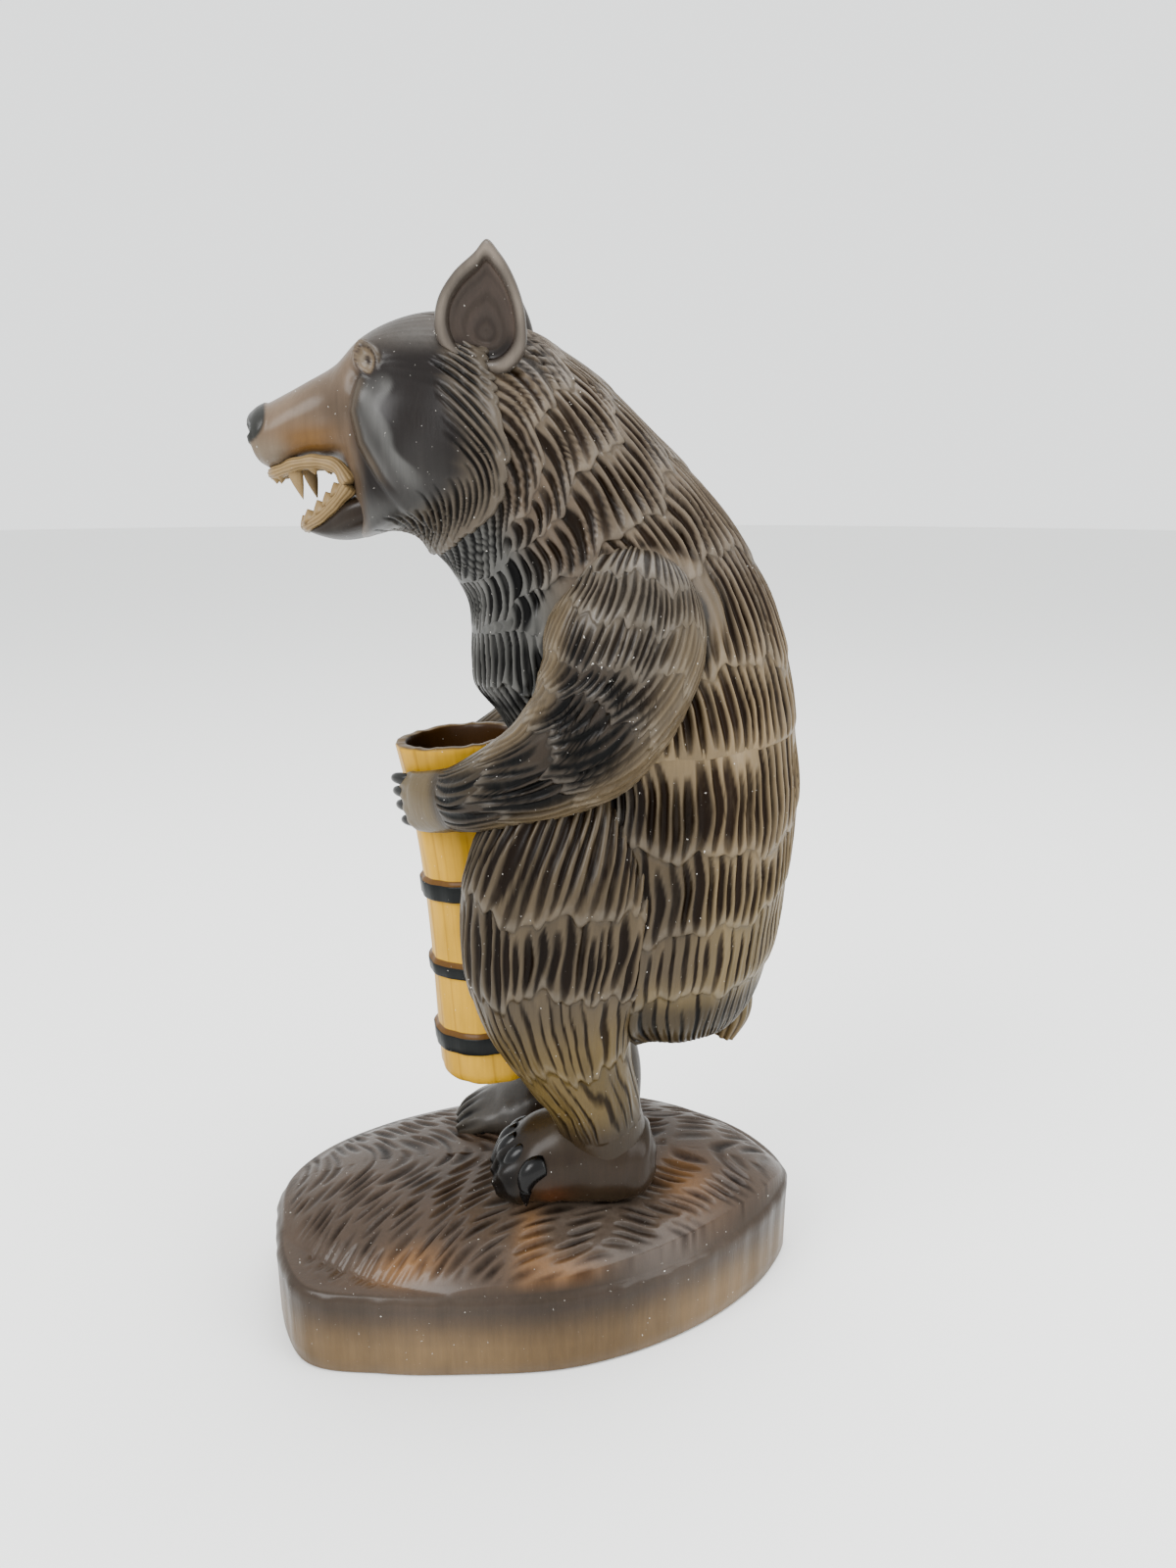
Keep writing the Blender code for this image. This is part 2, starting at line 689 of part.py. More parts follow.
def plinth(collection):
    """The hand-cut oval: sides drawn in below, a small bevel and the carved ground."""
    half_size = np.array([PLINTH_WIDTH / 2, PLINTH_LENGTH / 2])
    rim = closed_outline(np.array(PLINTH_OUTLINE) * half_size, PLINTH_COLUMNS)
    distance = np.hypot(rim[:, 0], rim[:, 1])[:, None]
    rings = []
    for inset, height in (
        (PLINTH_DRAFT + UNDERSIDE_EDGE, 0.0), (PLINTH_DRAFT, UNDERSIDE_EDGE),
        (PLINTH_DRAFT * 0.3, PLINTH_THICKNESS * 0.5), (0.0, PLINTH_THICKNESS - PLINTH_EDGE),
    ):
        flat = rim * (1 - inset / distance)
        rings.append(np.column_stack([flat, np.full(len(rim), height)]))
    top = rim * (1 - PLINTH_EDGE / distance)
    for share in (1.0, 0.9, 0.8, 0.69, 0.57, 0.44, 0.28):
        flat = top * share
        cut = np.sin(2 * pi * (flat[:, 0] * 0.8 + flat[:, 1] * 0.6) / GROUND_CUT_PITCH)
        height = PLINTH_THICKNESS + mound_height(flat[:, 0], flat[:, 1])
        height = height + GROUND_CUT_DEPTH * cut * (share < 1.0)
        rings.append(np.column_stack([flat, height]))
    return skin("plinth", np.array(rings), collection)


def stand_foot(sections):
    """A foot's sections with their heights counted from the ground under each."""
    rows = []
    for x, y, height, depth, width in sections:
        ground = mound_height(x * UNIT, y * UNIT) / UNIT
        rows.append((x, y, ground + height, depth, width))
    return rows


def foot(name, sections, collection):
    """A foot with its row of claws fanned round the toes and down to the ground."""
    rows = stand_foot(sections)
    smooth_limb(name, rows, FOOT_COLUMNS, collection)
    toe_x, toe_y, toe_z, depth, width = rows[-1]
    for number in range(CLAWS_ON_A_FOOT):
        spread = 2 * number / (CLAWS_ON_A_FOOT - 1) - 1
        root = (toe_x + 0.95 * width * spread, toe_y + 4 + 4 * spread**2, toe_z + 2)
        point = (root[0] + 1.5 * spread, root[1] - 8, toe_z - 3.5)
        spike("%s_claw_%d" % (name, number), root, point, FOOT_CLAW_RADIUS, collection)


def paw_claws(label, side, collection):
    for number, (height, root_turn, point_turn) in enumerate(PAW_CLAWS):
        root = beside_barrel(root_turn, height, 2.0)
        point = beside_barrel(point_turn, height - 1.5, 0.5)
        claw = "%s_paw_claw_%d" % (label, number)
        spike(claw, root, point, PAW_CLAW_RADIUS, collection, side)


def hide_as_guide(part):
    part.hide_render = True
    part.display_type = "WIRE"


def cut_away(part, name, cutters):
    """A Boolean difference with everything in a collection of cutters."""
    cut = part.modifiers.new(name, "BOOLEAN")
    cut.operation = "DIFFERENCE"
    cut.operand_type = "COLLECTION"
    cut.collection = cutters


def carve(name):
    """The bear joined with its plinth, parted along the barrel, and the hollow barrel."""
    parts = new_collection(name)
    bear = body(parts)
    bear.name = name
    bear.data.name = name
    bear.data.materials.append(varnished("stained_wood", (0.075, 0.050, 0.032)))

    joined = new_collection("joined_parts")
    jaw(joined)
    plinth(joined)
    gum("upper_gum", UPPER_GUM, joined)
    gum("lower_gum", LOWER_GUM, joined)
    smooth_limb("tail", TAIL_SECTIONS, 12, joined)
    foot("left_foot", LEFT_FOOT, joined)
    foot("right_foot", RIGHT_FOOT, joined)
    for label, side in (("left", 1.0), ("right", -1.0)):
        limb(label + "_arm", arm_sections(), len(ARM_SECTIONS) - 1, LIMB_COLUMNS, joined, side)
        paw_claws(label, side, joined)
        limb(label + "_leg", LEG_SECTIONS, LEG_FUR_END, LIMB_COLUMNS, joined, side)
        ear(label + "_ear", side, joined)
        for number, (root, point, radius) in enumerate(TEETH):
            spike("%s_tooth_%d" % (label, number), root, point, radius, joined, side)
    join = bear.modifiers.new("join the parts", "BOOLEAN")
    join.operation = "UNION"
    join.operand_type = "COLLECTION"
    join.collection = joined

    room = new_collection("room_for_the_barrel")
    barrel("barrel_room", room, PARTING_GAP)
    barrel_hollow(room)
    cut_away(bear, "part along the barrel", room)

    pot = barrel("barrel", parts)
    pot.data.materials.append(varnished("barrel_wood", (0.48, 0.30, 0.09)))
    inside = new_collection("barrel_inside")
    barrel_hollow(inside)
    cut_away(pot, "hollow the barrel", inside)

    for part in list(joined.objects) + list(room.objects) + list(inside.objects):
        hide_as_guide(part)


remove_everything()
carve("carved_bear")
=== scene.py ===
"""The dressed carved bear: every surface of the block with its gouge cuts, stain and varnish.

All shapes are drawn in millimetres over the plinth's rim, as the solids were, and come out
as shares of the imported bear's height. The bear faces -Y and its left side is +X.
A turn is counted in radians round a section: 0 is the back, a quarter turn the left side.
"""

from math import cos, pi, radians, sin

import bpy
import numpy as np
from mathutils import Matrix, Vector


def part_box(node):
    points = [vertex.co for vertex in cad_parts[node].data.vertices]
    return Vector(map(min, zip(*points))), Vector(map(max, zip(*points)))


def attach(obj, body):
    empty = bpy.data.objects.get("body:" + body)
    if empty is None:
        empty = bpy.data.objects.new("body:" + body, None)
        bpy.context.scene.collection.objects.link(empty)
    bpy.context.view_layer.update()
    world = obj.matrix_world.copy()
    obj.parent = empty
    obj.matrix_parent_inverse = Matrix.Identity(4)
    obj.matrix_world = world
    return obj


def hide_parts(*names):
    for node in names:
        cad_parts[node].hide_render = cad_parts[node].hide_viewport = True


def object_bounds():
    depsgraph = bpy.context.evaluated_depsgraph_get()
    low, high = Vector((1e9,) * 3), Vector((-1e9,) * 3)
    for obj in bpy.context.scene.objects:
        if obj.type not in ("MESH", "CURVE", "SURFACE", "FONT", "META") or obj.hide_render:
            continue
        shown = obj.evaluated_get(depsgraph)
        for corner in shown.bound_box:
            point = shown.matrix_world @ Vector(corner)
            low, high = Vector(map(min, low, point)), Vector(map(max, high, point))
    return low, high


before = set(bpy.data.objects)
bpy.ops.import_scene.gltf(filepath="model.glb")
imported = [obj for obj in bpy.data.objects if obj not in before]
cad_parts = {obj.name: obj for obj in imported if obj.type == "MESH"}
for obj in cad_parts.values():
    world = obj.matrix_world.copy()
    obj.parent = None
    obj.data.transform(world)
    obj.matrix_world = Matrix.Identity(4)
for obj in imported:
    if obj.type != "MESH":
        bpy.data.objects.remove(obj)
cad_low, cad_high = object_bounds()
bear_low, bear_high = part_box("carved_bear")

# A drawn millimetre in metres, and how far pieces stay inside the solids' box, in metres

DRAWN_OVERALL = 295.489
MM = (bear_high.z - bear_low.z) / DRAWN_OVERALL
BOX_CLEARANCE = 0.00001

# Plinth and barrel, in drawn millimetres, with hoops as shares of the barrel's height

RIM_HEIGHT = 25.0
PLINTH_LENGTH = 163.0
PLINTH_WIDTH = 107.0
PLINTH_EDGE = 2.5
PLINTH_DRAFT = 0.5
MOUND_RISE = 13.0
MOUND_FULLER_BEHIND = 0.35
MOUND_TWIST = 0.60
GROUND_PITCH = 2.8

BARREL_HEIGHT = 103.0
BARREL_MOUTH_RADIUS = 18.0
BARREL_FOOT_RADIUS = 16.5
BARREL_WAIST = 2.6
BARREL_WALL = 3.0
BARREL_FLOOR = 4.0
BARREL_FOOT_ROUND = 4.5
BARREL_LEAN = radians(5.1)
BARREL_SEAT = (0.0, -2.0, 147.0)
HOOP_PROUD = 1.2
HOOPS = ((0.135, 0.050), (0.352, 0.033), (0.585, 0.047))

# Sections of rump, trunk and head: front y, front z, back y, back z, half width, fuller
# back, bow and flat front, from the tail end to the nose

BODY_SECTIONS = np.array((
    (37, 60.5, 52, 61, 8, 0.00, 0, 0),
    (27, 62, 58, 62.5, 20, 0.00, 0, 0),
    (16, 65.5, 61.5, 66, 29, 0.05, 1, 0),
    (7, 72, 65.5, 72.0, 36, 0.08, 2, 0),
    (1, 85, 70.5, 85.0, 39.5, 0.10, 3, 0),
    (0, 101, 73.5, 101.0, 41, 0.10, 3, 0),
    (-1, 116, 75.5, 116.0, 41, 0.10, 3, 0),
    (-2, 130, 76.5, 131.0, 40, 0.08, 2, 0),
    (-3, 143, 75.5, 146.0, 39, 0.05, 1, 0),
    (-8, 152, 74, 160.0, 38, 0.00, 0, 0),
    (-14, 160, 71.2, 173.0, 37, -0.03, 0, 0),
    (-15.5, 168, 66, 187.5, 36.5, -0.03, 1, 0),
    (-15, 176, 59.3, 199.0, 35.5, -0.03, 2, 0),
    (-16, 184, 50.5, 211.0, 33.5, -0.03, 3, 0),
    (-20, 191, 38.6, 223.4, 31.5, 0.00, 5, 0),
    (-25, 197, 25.5, 236.4, 29.5, 0.00, 8, 0),
    (-30, 201, 12.8, 246.4, 28.5, 0.00, 11, 0),
    (-35.5, 202, 3, 252.5, 28, -0.03, 12, 0),
    (-40, 201, -8, 255.0, 27.5, -0.08, 11, 0),
    (-44, 200.5, -18, 257.0, 26, -0.15, 8, 0.1),
    (-45, 205, -28, 256.5, 23.5, -0.10, 5, 0.2),
    (-45.5, 212, -35, 254.5, 21, 0.00, 3, 0.4),
    (-47, 218.5, -41, 251.5, 17.5, 0.05, 1, 0.5),
    (-53, 220.5, -48, 245.0, 14.5, 0.05, 0, 0.55),
    (-59, 220, -57, 240.0, 12.5, 0.00, 0, 0.55),
    (-64.5, 218.3, -66, 235.5, 11.5, -0.05, 0, 0.5),
    (-68, 218.5, -70.5, 233.3, 9.8, 0.00, 0, 0.4),
    (-70.3, 220.5, -72.6, 231.0, 7, 0.00, 0, 0.3),
    (-71.5, 223, -73.2, 229.0, 3, 0.00, 0, 0),
), dtype=float)

# Local pushes in and out of the face: x, y, z on the left side, reach and push

FACE_MARKS = (
    (19, -38, 243, 5.5, -2.2),
    (16, -42, 250, 4.5, 1.8),
    (18.5, -39.5, 243.5, 2.6, 1.2),
    (23, -35, 230, 9, 1.5),
    (13, -49, 233, 6, -1.2),
    (0, -47, 248, 5, -0.8),
    (4.5, -72.5, 228.5, 2.2, -1.0),
)

# Where the cheek's ruff ends over the neck: turn in degrees and distance along the body

RUFF_EDGE = np.array((
    (0, 200), (25, 198), (50, 195), (71, 192), (85, 185), (100, 179), (116, 174),
    (145, 169), (180, 167),
), dtype=float)

# How far the ruff's cuts reach forward of its edge: turn in degrees and length

RUFF_REACH = np.array(((0, 5), (45, 7), (70, 10), (90, 12), (110, 17), (140, 25), (180, 27)), dtype=float)

# Lower jaw from the throat to the chin: lip y, lip z, underside y, underside z, half width

JAW_SECTIONS = np.array((
    (-34, 214, -34, 203, 16),
    (-41, 213, -39, 201.5, 16.5),
    (-45.5, 211.5, -44, 200, 15.5),
    (-50, 207.5, -49.5, 199.5, 13),
    (-54.5, 204, -54.5, 200.5, 9.8),
    (-57.5, 203, -57.5, 201.5, 6),
), dtype=float)

# Gums from the left corner round the front: x, y, z, half height and half thickness

UPPER_GUM = (
    (14, -44.2, 214.3, 2.9, 2.1),
    (12.5, -47.5, 218.5, 2.2, 1.8),
    (11, -52.5, 219.8, 2.2, 1.8),
    (9.5, -58.5, 219.3, 2.2, 1.8),
    (7, -63, 218, 2.0, 1.8),
    (3.5, -66, 217.2, 1.9, 1.7),
)
LOWER_GUM = (
    (14, -44.2, 214.0, 2.9, 2.1),
    (12.5, -47.5, 210.5, 2.2, 1.8),
    (10.5, -51.5, 207, 2.0, 1.8),
    (8, -55.5, 204.5, 1.9, 1.7),
    (4, -58, 203.5, 1.8, 1.7),
)

# Teeth on the left side: root, point and root radius

TEETH = (
    ((8.6, -60.0, 219), (8.4, -57.8, 210.2), 2.0),
    ((2.4, -66.0, 217.5), (2.4, -66.0, 214.2), 1.9),
    ((6.0, -64.2, 218), (6.0, -64.0, 215.0), 1.7),
    ((10.2, -54.5, 219.8), (10.0, -54.0, 216.6), 2.1),
    ((11.6, -50.5, 220), (11.0, -50.2, 216.8), 2.1),
    ((3.0, -58.0, 203.5), (3.0, -59.6, 206.2), 2.2),
    ((7.4, -55.8, 204.8), (7.4, -57.2, 207.9), 2.5),
    ((9.8, -52.4, 206.8), (9.6, -54.0, 210.3), 2.6),
    ((11.2, -49.8, 209.2), (10.8, -51.4, 212.4), 2.5),
    ((12.4, -47.4, 211.8), (11.8, -48.9, 214.8), 2.4),
)

# Left arm from the shoulder to the wrist, then the paw round the barrel

ARM_SECTIONS = (
    (22, 29, 196, 6, 6),
    (25.5, 28.5, 191.5, 13.5, 11.5),
    (29, 28, 184.5, 18.0, 14.5),
    (32, 26.5, 176, 20.5, 16),
    (33.5, 24, 166, 19.5, 16),
    (34, 18, 154, 18, 15.5),
    (33, 8, 145, 15, 14.5),
    (31, -2, 139.5, 12.2, 12.5),
    (28, -11, 135.5, 10.2, 11),
)
PAW_SECTIONS = (
    (90, 132.5, 8.8, 7.8), (74, 131.0, 8.8, 5.6), (58, 130.0, 8.6, 4.2), (45, 129.7, 7.8, 3.2),
    (39, 129.6, 5.5, 2.0),
)
PAW_MIDDLE = 129.7
FINGER_PITCH = 4.0
PAW_PRESS = 1.3
PAW_CLAWS = ((1.5, 44, 22), (0.5, 42, 17), (-0.5, 42, 17), (-1.5, 46, 24))

# Left leg from the hip to the ankle

LEG_SECTIONS = (
    (22, 17, 139, 9, 8),
    (26, 14.5, 131, 19.5, 13),
    (29, 11.5, 119, 25, 16.5),
    (30, 9.5, 104, 26.5, 17.5),
    (30, 8.5, 91, 25.5, 17.5),
    (29.5, 9, 78, 22.5, 16.5),
    (28.5, 11.5, 66, 18.5, 15),
    (27, 14.5, 56, 15, 13.5),
    (25, 17.5, 48, 13.3, 12.5),
    (23, 19.5, 40, 12.6, 12),
    (21.5, 21.8, 30, 12.4, 11.2),
    (19.5, 22.5, 18, 11.5, 9.5),
)

# Feet from the heel to the toes: x, y, height over the ground, half height, half width

LEFT_FOOT = (
    (21.5, 36.5, 11, 5, 5),
    (21.5, 34, 11, 9.5, 9),
    (21.5, 28, 12, 13, 11.5),
    (21.5, 18, 13, 14.5, 12.5),
    (21, 8, 12, 13.5, 13.5),
    (20.5, 0, 9.5, 11, 14),
    (20, -6, 6.5, 8, 13.5),
    (20, -9, 5, 5, 11),
)
RIGHT_FOOT = (
    (-21.5, 32, 9, 4, 4),
    (-21.5, 29.5, 9, 9, 9),
    (-21.5, 20, 10, 12, 11.5),
    (-21.5, 7, 8.5, 11.5, 12.5),
    (-21.5, -3, 6, 9, 13),
    (-21.5, -11, 4, 7.5, 12.5),
    (-21.5, -16, 3.5, 6, 11.5),
    (-21.5, -21, 2, 4.8, 10.5),
    (-21.5, -25, 0.5, 2.5, 8),
)

# Claws of a foot: middle of the roots, root radius and how far they hang forward and down

FOOT_CLAWS = {
    "left_foot": ((20.5, -4.0, 17.0), 13.2, 3.6, 6.2, 13.0),
    "right_foot": ((-21.5, -18.0, 4.0), 9.0, 2.0, 6.0, 4.0),
}
CLAWS_ON_A_FOOT = 6

TAIL_SECTIONS = ((0, 56, 80, 7, 8), (0, 59.5, 70, 6.5, 8.5), (0, 60.5, 62, 5.5, 7.5), (0, 58, 53, 3.5, 5))

# The ear's leaf outline: forward and up from its middle

EAR_OUTLINE = (
    (2, -14), (9.5, -10.5), (13, -3.5), (12, 3.5), (7.5, 9.5), (2, 13.5), (-1, 16),
    (-4, 13), (-8, 6), (-10, -2), (-9.5, -9), (-4, -14),
)
EAR_MIDDLE = (20.5, -8, 254.5)
EAR_SPREAD = 0.24
EAR_TURN = 0.42
EAR_THICKNESS = 5.0
EAR_DISH = 3.4
EAR_DRIFT = 3.0

# The plinth's outline as shares of half its width and half its length

PLINTH_OUTLINE = np.array((
    (-0.15, 1.00), (0.14, 0.92), (0.46, 0.745), (0.75, 0.485), (0.95, 0.16), (1.00, -0.20),
    (0.99, -0.50), (0.90, -0.78), (0.67, -0.88), (0.36, -0.945), (0.00, -0.98),
    (-0.34, -0.88), (-0.62, -0.66), (-0.80, -0.34), (-0.93, 0.05), (-1.00, 0.42),
    (-0.88, 0.68), (-0.56, 0.91),
))

# Stains, each as the tone of the ridges and the tone at the bottom of the cuts; under_shade is painted shade,
# not a stain

STAINS = {
    "nape": ((114, 102, 88), (50, 37, 25)),
    "flank": ((146, 128, 102), (56, 40, 22)),
    "low flank": ((132, 116, 88), (52, 38, 20)),
    "rump": ((114, 99, 70), (56, 43, 22)),
    # Painted shade: a darker tone laid on undersides and inner sides
    "under_shade": ((66, 57, 44), (18, 13, 8)),
    "neck": ((100, 88, 76), (46, 36, 27)),
    "chest": ((98, 97, 94), (20, 19, 18)),
    "thigh": ((92, 81, 66), (40, 30, 20)),
    "thigh low": ((108, 92, 62), (62, 48, 26)),
    "shank": ((82, 71, 52), (52, 42, 28)),
    "cap": ((98, 90, 80), (50, 42, 34)),
    "arm": ((56, 48, 40), (11, 8, 5)),
    "edge": ((120, 106, 86), (76, 62, 46)),
    "paw": ((108, 95, 74), (66, 55, 41)),
    "foot": ((54, 44, 35), (32, 25, 18)),
    "reddish": ((92, 56, 38), (52, 30, 20)),
    "cheek": ((30, 24, 22), (12, 9, 8)),
    "grey": ((110, 109, 107), (42, 40, 38)),
    "crown": ((82, 76, 71), (36, 30, 27)),
    "ruff": ((104, 95, 84), (32, 26, 20)),
    "tan": ((118, 102, 88), (84, 66, 50)),
    "orange": ((124, 93, 60), (88, 58, 32)),
    "lip": ((124, 112, 98), (82, 70, 58)),
    "nose": ((52, 52, 50), (20, 20, 20)),
    "gum": ((168, 143, 108), (104, 80, 52)),
    "eye": ((118, 104, 88), (70, 54, 40)),
    "pupil": ((52, 44, 40), (20, 16, 14)),
    "ear": ((138, 128, 118), (78, 68, 60)),
    "ear hollow": ((88, 77, 70), (48, 40, 35)),
    "ground": ((84, 71, 61), (46, 35, 27)),
    "ground orange": ((156, 116, 80), (92, 60, 38)),
    "side top": ((78, 67, 58), (52, 42, 35)),
    "side low": ((130, 108, 82), (98, 78, 54)),
    "claw": ((17, 16, 16), (6, 6, 6)),
    "paw claw": ((48, 48, 47), (20, 20, 20)),
    "barrel": ((242, 190, 92), (204, 148, 62)),
    "barrel rim": ((116, 95, 68), (70, 52, 34)),
    "hoop": ((32, 34, 34), (17, 17, 17)),
    "ledge": ((112, 82, 50), (70, 46, 26)),
    "barrel inside": ((66, 46, 28), (30, 19, 11)),
}

# How the tones become light: strength of ridges and cuts, warmth, the darkest and the gamma

RIDGE_STRENGTH = 0.40
CUT_STRENGTH = 0.22
STAIN_WARMTH = 1.2
DARKEST = 0.0008
SCREEN_GAMMA = 2.2

# Columns round the larger pieces

TRUNK_COLUMNS = 704
HEAD_COLUMNS = 480
LIMB_COLUMNS = 320
BARREL_COLUMNS = 200
PLINTH_COLUMNS = 608
EAR_COLUMNS = 120

SIDES = ((1.0, "left"), (-1.0, "right"))
X_AXIS = np.array([1.0, 0.0, 0.0])


# Stains


def linear(tone, strength):
    """A tone from 0 to 255 as the share of light it gives back, with its warmth deepened."""
    light = (np.array(tone, dtype=float) / 255.0) ** SCREEN_GAMMA * strength
    grey = light.mean()
    return np.maximum(grey + (light - grey) * STAIN_WARMTH, DARKEST)


def both_tones(name):
    ridge, cut = STAINS[name]
    return np.stack([linear(ridge, RIDGE_STRENGTH), linear(cut, CUT_STRENGTH)])


def stained(points, first, *layers):
    """Stains over a grid, as (..., ridge or cut, colour).

    The first lies all over. Each layer is a name and a mask, and is rubbed over as far as
    the mask goes from 0 to 1. Some layers are painted shade, painted sheen and painted highlight, not stain.
    """
    stains = np.broadcast_to(both_tones(first), points.shape[:2] + (2, 3))
    for name, mask in layers:
        stains = stains + (both_tones(name) - stains) * np.clip(mask, 0, 1)[..., None, None]
    return stains


# Curves and surfaces


def slope(value, start, end):
    """0 before start and 1 past end, with a smooth step 3t^2 - 2t^3 between."""
    t = np.clip((value - start) / (end - start), 0, 1)
    return t * t * (3 - 2 * t)


def bell(value, middle, reach):
    """1 at the middle and less on both sides: exp(-((value - middle) / reach)^2)."""
    return np.exp(-(((value - middle) / reach) ** 2))


def spot(points, y, z, reach_y, reach_z):
    """A soft patch on both flanks: exp(-(dy/reach)^2 - (dz/reach)^2)."""
    return np.exp(-(((points[..., 1] - y) / reach_y) ** 2) - ((points[..., 2] - z) / reach_z) ** 2)


def from_middle(points, start, end):
    """0 near the bear's middle plane and 1 on the flanks."""
    return slope(np.abs(points[..., 0]), start, end)


def dice(index, row, salt):
    """A fixed fraction for each whole number: the broken part of a large sine."""
    wave = np.sin(index * 12.9898 + row * 78.233 + salt * 37.719) * 43758.5453
    return wave - np.floor(wave)


def turns(columns):
    """The columns' turns, evenly round a section."""
    return np.arange(columns) * 2 * pi / columns


def degrees_from_back(turn):
    """A turn in degrees from the back, the same on both sides."""
    return np.abs(np.degrees((turn + pi) % (2 * pi) - pi))


def unit(vectors):
    return vectors / np.linalg.norm(vectors, axis=-1, keepdims=True)


def mirrored(points, side):
    return points * np.array([side, 1.0, 1.0])


def run_of(points):
    """Distance run along a row of points, from zero at the first."""
    steps = np.linalg.norm(np.diff(points, axis=0), axis=1)
    return np.concatenate([[0.0], np.cumsum(steps)])


def smooth_read(knots, rows, at):
    """Rows read as one Hermite curve whose slopes are those across each row's neighbours."""
    slopes = np.gradient(rows, knots, axis=0)
    at = np.clip(at, knots[0], knots[-1])
    span = np.clip(np.searchsorted(knots, at, side="right") - 1, 0, len(knots) - 2)
    length = knots[span + 1] - knots[span]
    s = ((at - knots[span]) / length)[..., None]
    length = length[..., None]
    return (
        (2 * s**3 - 3 * s**2 + 1) * rows[span]
        + (s**3 - 2 * s**2 + s) * length * slopes[span]
        + (3 * s**2 - 2 * s**3) * rows[span + 1]
        + (s**3 - s**2) * length * slopes[span + 1]
    )


def by_turn(table, turn):
    """A value drawn by turn in degrees on one side, the same on the other."""
    return smooth_read(table[:, 0], table[:, 1:2], degrees_from_back(turn))[..., 0]


BODY_KNOTS = run_of((BODY_SECTIONS[:, 0:2] + BODY_SECTIONS[:, 2:4]) / 2)


def flattened(wave, flat):
    """A wave whose lower half is flatter: -|wave|^(1 - flat)."""
    return np.where(wave < 0, -np.abs(wave) ** (1 - flat), wave)


def body_surface(along, turn):
    """Rump, trunk and head before carving.

    Point = middle + half depth * cos(turn) + X * half width * sin(turn) * (1 + fuller *
    cos(turn)) + bow * sin(turn)^2 across the section, then pushed by the face marks.
    """
    rows = smooth_read(BODY_KNOTS, BODY_SECTIONS, along)
    front = rows[..., 0:2]
    back = rows[..., 2:4]
    sine = np.sin(turn)
    cosine = flattened(np.cos(turn), np.clip(rows[..., 7], 0, 0.9))
    half = (back - front) / 2
    depth = np.hypot(half[..., 0], half[..., 1])
    across = np.stack([half[..., 1], -half[..., 0]], axis=-1) / depth[..., None]
    side = rows[..., 4] * sine * (1 + rows[..., 5] * cosine)
    plane = (front + back) / 2 + half * cosine[..., None]
    plane = plane + across * (rows[..., 6] * sine**2)[..., None]
    points = np.stack([side, plane[..., 0], plane[..., 1]], axis=-1)
    out_plane = half * (np.cos(turn) / depth**2)[..., None]
    out = unit(np.stack([sine / rows[..., 4], out_plane[..., 0], out_plane[..., 1]], axis=-1))
    push = np.zeros(points.shape[:-1])
    for x, y, z, reach, depth_in in FACE_MARKS:
        for side_x in {x, -x}:
            away = np.linalg.norm(points - np.array([side_x, y, z]), axis=-1)
            push = push + depth_in * bell(away, 0.0, reach)
    return points + out * push[..., None]


def limb_surface(sections, reference=(1.0, 0.0, 0.0)):
    """A limb round a bent path, and its knots.

    Point = middle + across * half thickness * sin(turn) + up * half depth * cos(turn),
    square to the path, with across as near to the reference as it can be.
    """
    table = np.array(sections, dtype=float)
    knots = run_of(table[:, 0:3])
    reference = np.array(reference)

    def surface(along, turn):
        rows = smooth_read(knots, table, along)
        path = smooth_read(knots, table, along + 0.5) - smooth_read(knots, table, along - 0.5)
        path = unit(path[..., 0:3])
        across = unit(reference - path * (path @ reference)[..., None])
        up = np.cross(across, path)
        deep = (rows[..., 3] * np.cos(turn))[..., None]
        wide = (rows[..., 4] * np.sin(turn))[..., None]
        return rows[..., 0:3] + up * deep + across * wide

    return surface, knots


def girth_of(surface, along, samples):
    """The length round a section."""
    ring = surface(np.full((1, samples), along), np.linspace(0, 2 * pi, samples)[None, :])[0]
    return np.linalg.norm(np.diff(ring, axis=0), axis=1).sum()


def normals_of(surface, along, turn):
    """Unit normals of a surface from its differences both ways, turned outwards."""
    run = surface(along + 0.3, turn) - surface(along - 0.3, turn)
    round_it = surface(along, turn + 0.01) - surface(along, turn - 0.01)
    normal = np.cross(run, round_it)
    normal = normal / np.maximum(np.linalg.norm(normal, axis=-1, keepdims=True), 1e-9)
    points = surface(along, turn)
    out = points - points.mean(axis=1, keepdims=True)
    return normal * np.where((normal * out).sum() < 0, -1.0, 1.0)


def lifted(surface, marks):
    """The surface pushed out along its normal by the marks' lift."""
    along, turn = marks["along"], marks["turn"]
    return surface(along, turn) + normals_of(surface, along, turn) * marks["lift"][..., None]


def end_middles(surface, marks):
    """The middles of the first ring and the last."""
    return surface(marks["along"][[0, -1]], marks["turn"][[0, -1]]).mean(axis=1)


# Rings and rows of cuts, from the low end up

# Where the rings of a row stand, as shares of its length, and the least step between rings

ROW_SHARES = np.array((0, 0.03, 0.065, 0.105, 0.16, 0.24, 0.34, 0.45, 0.56, 0.67, 0.77, 0.86, 0.94, 1.0))
RING_STEP = 0.02


def parted(x, count, row, seed, uneven=0.36):
    """Which cut a place lies in, and where across it from -1 to 1.

    The ridge between two cuts stands off its whole number by a fixed random share.
    """
    def ridge(number):
        return number + uneven * (dice(number % count, row, seed + 8) - 0.5)

    groove = np.floor(x)
    groove = groove + (x >= ridge(groove + 1)) - (x < ridge(groove))
    low, high = ridge(groove), ridge(groove + 1)
    return groove, 2 * (x - low) / (high - low) - 1


def rising(along):
    """Ring distances raised so that each ring stands at least RING_STEP past the one before."""
    steps = RING_STEP * np.arange(len(along))[:, None]
    return np.maximum.accumulate(along - steps, axis=0) + steps


def stacked(*sets):
    """Several sets of rings in one, from the low end up."""
    return {key: np.vstack([part[key] for part in sets]) for key in sets[0]}


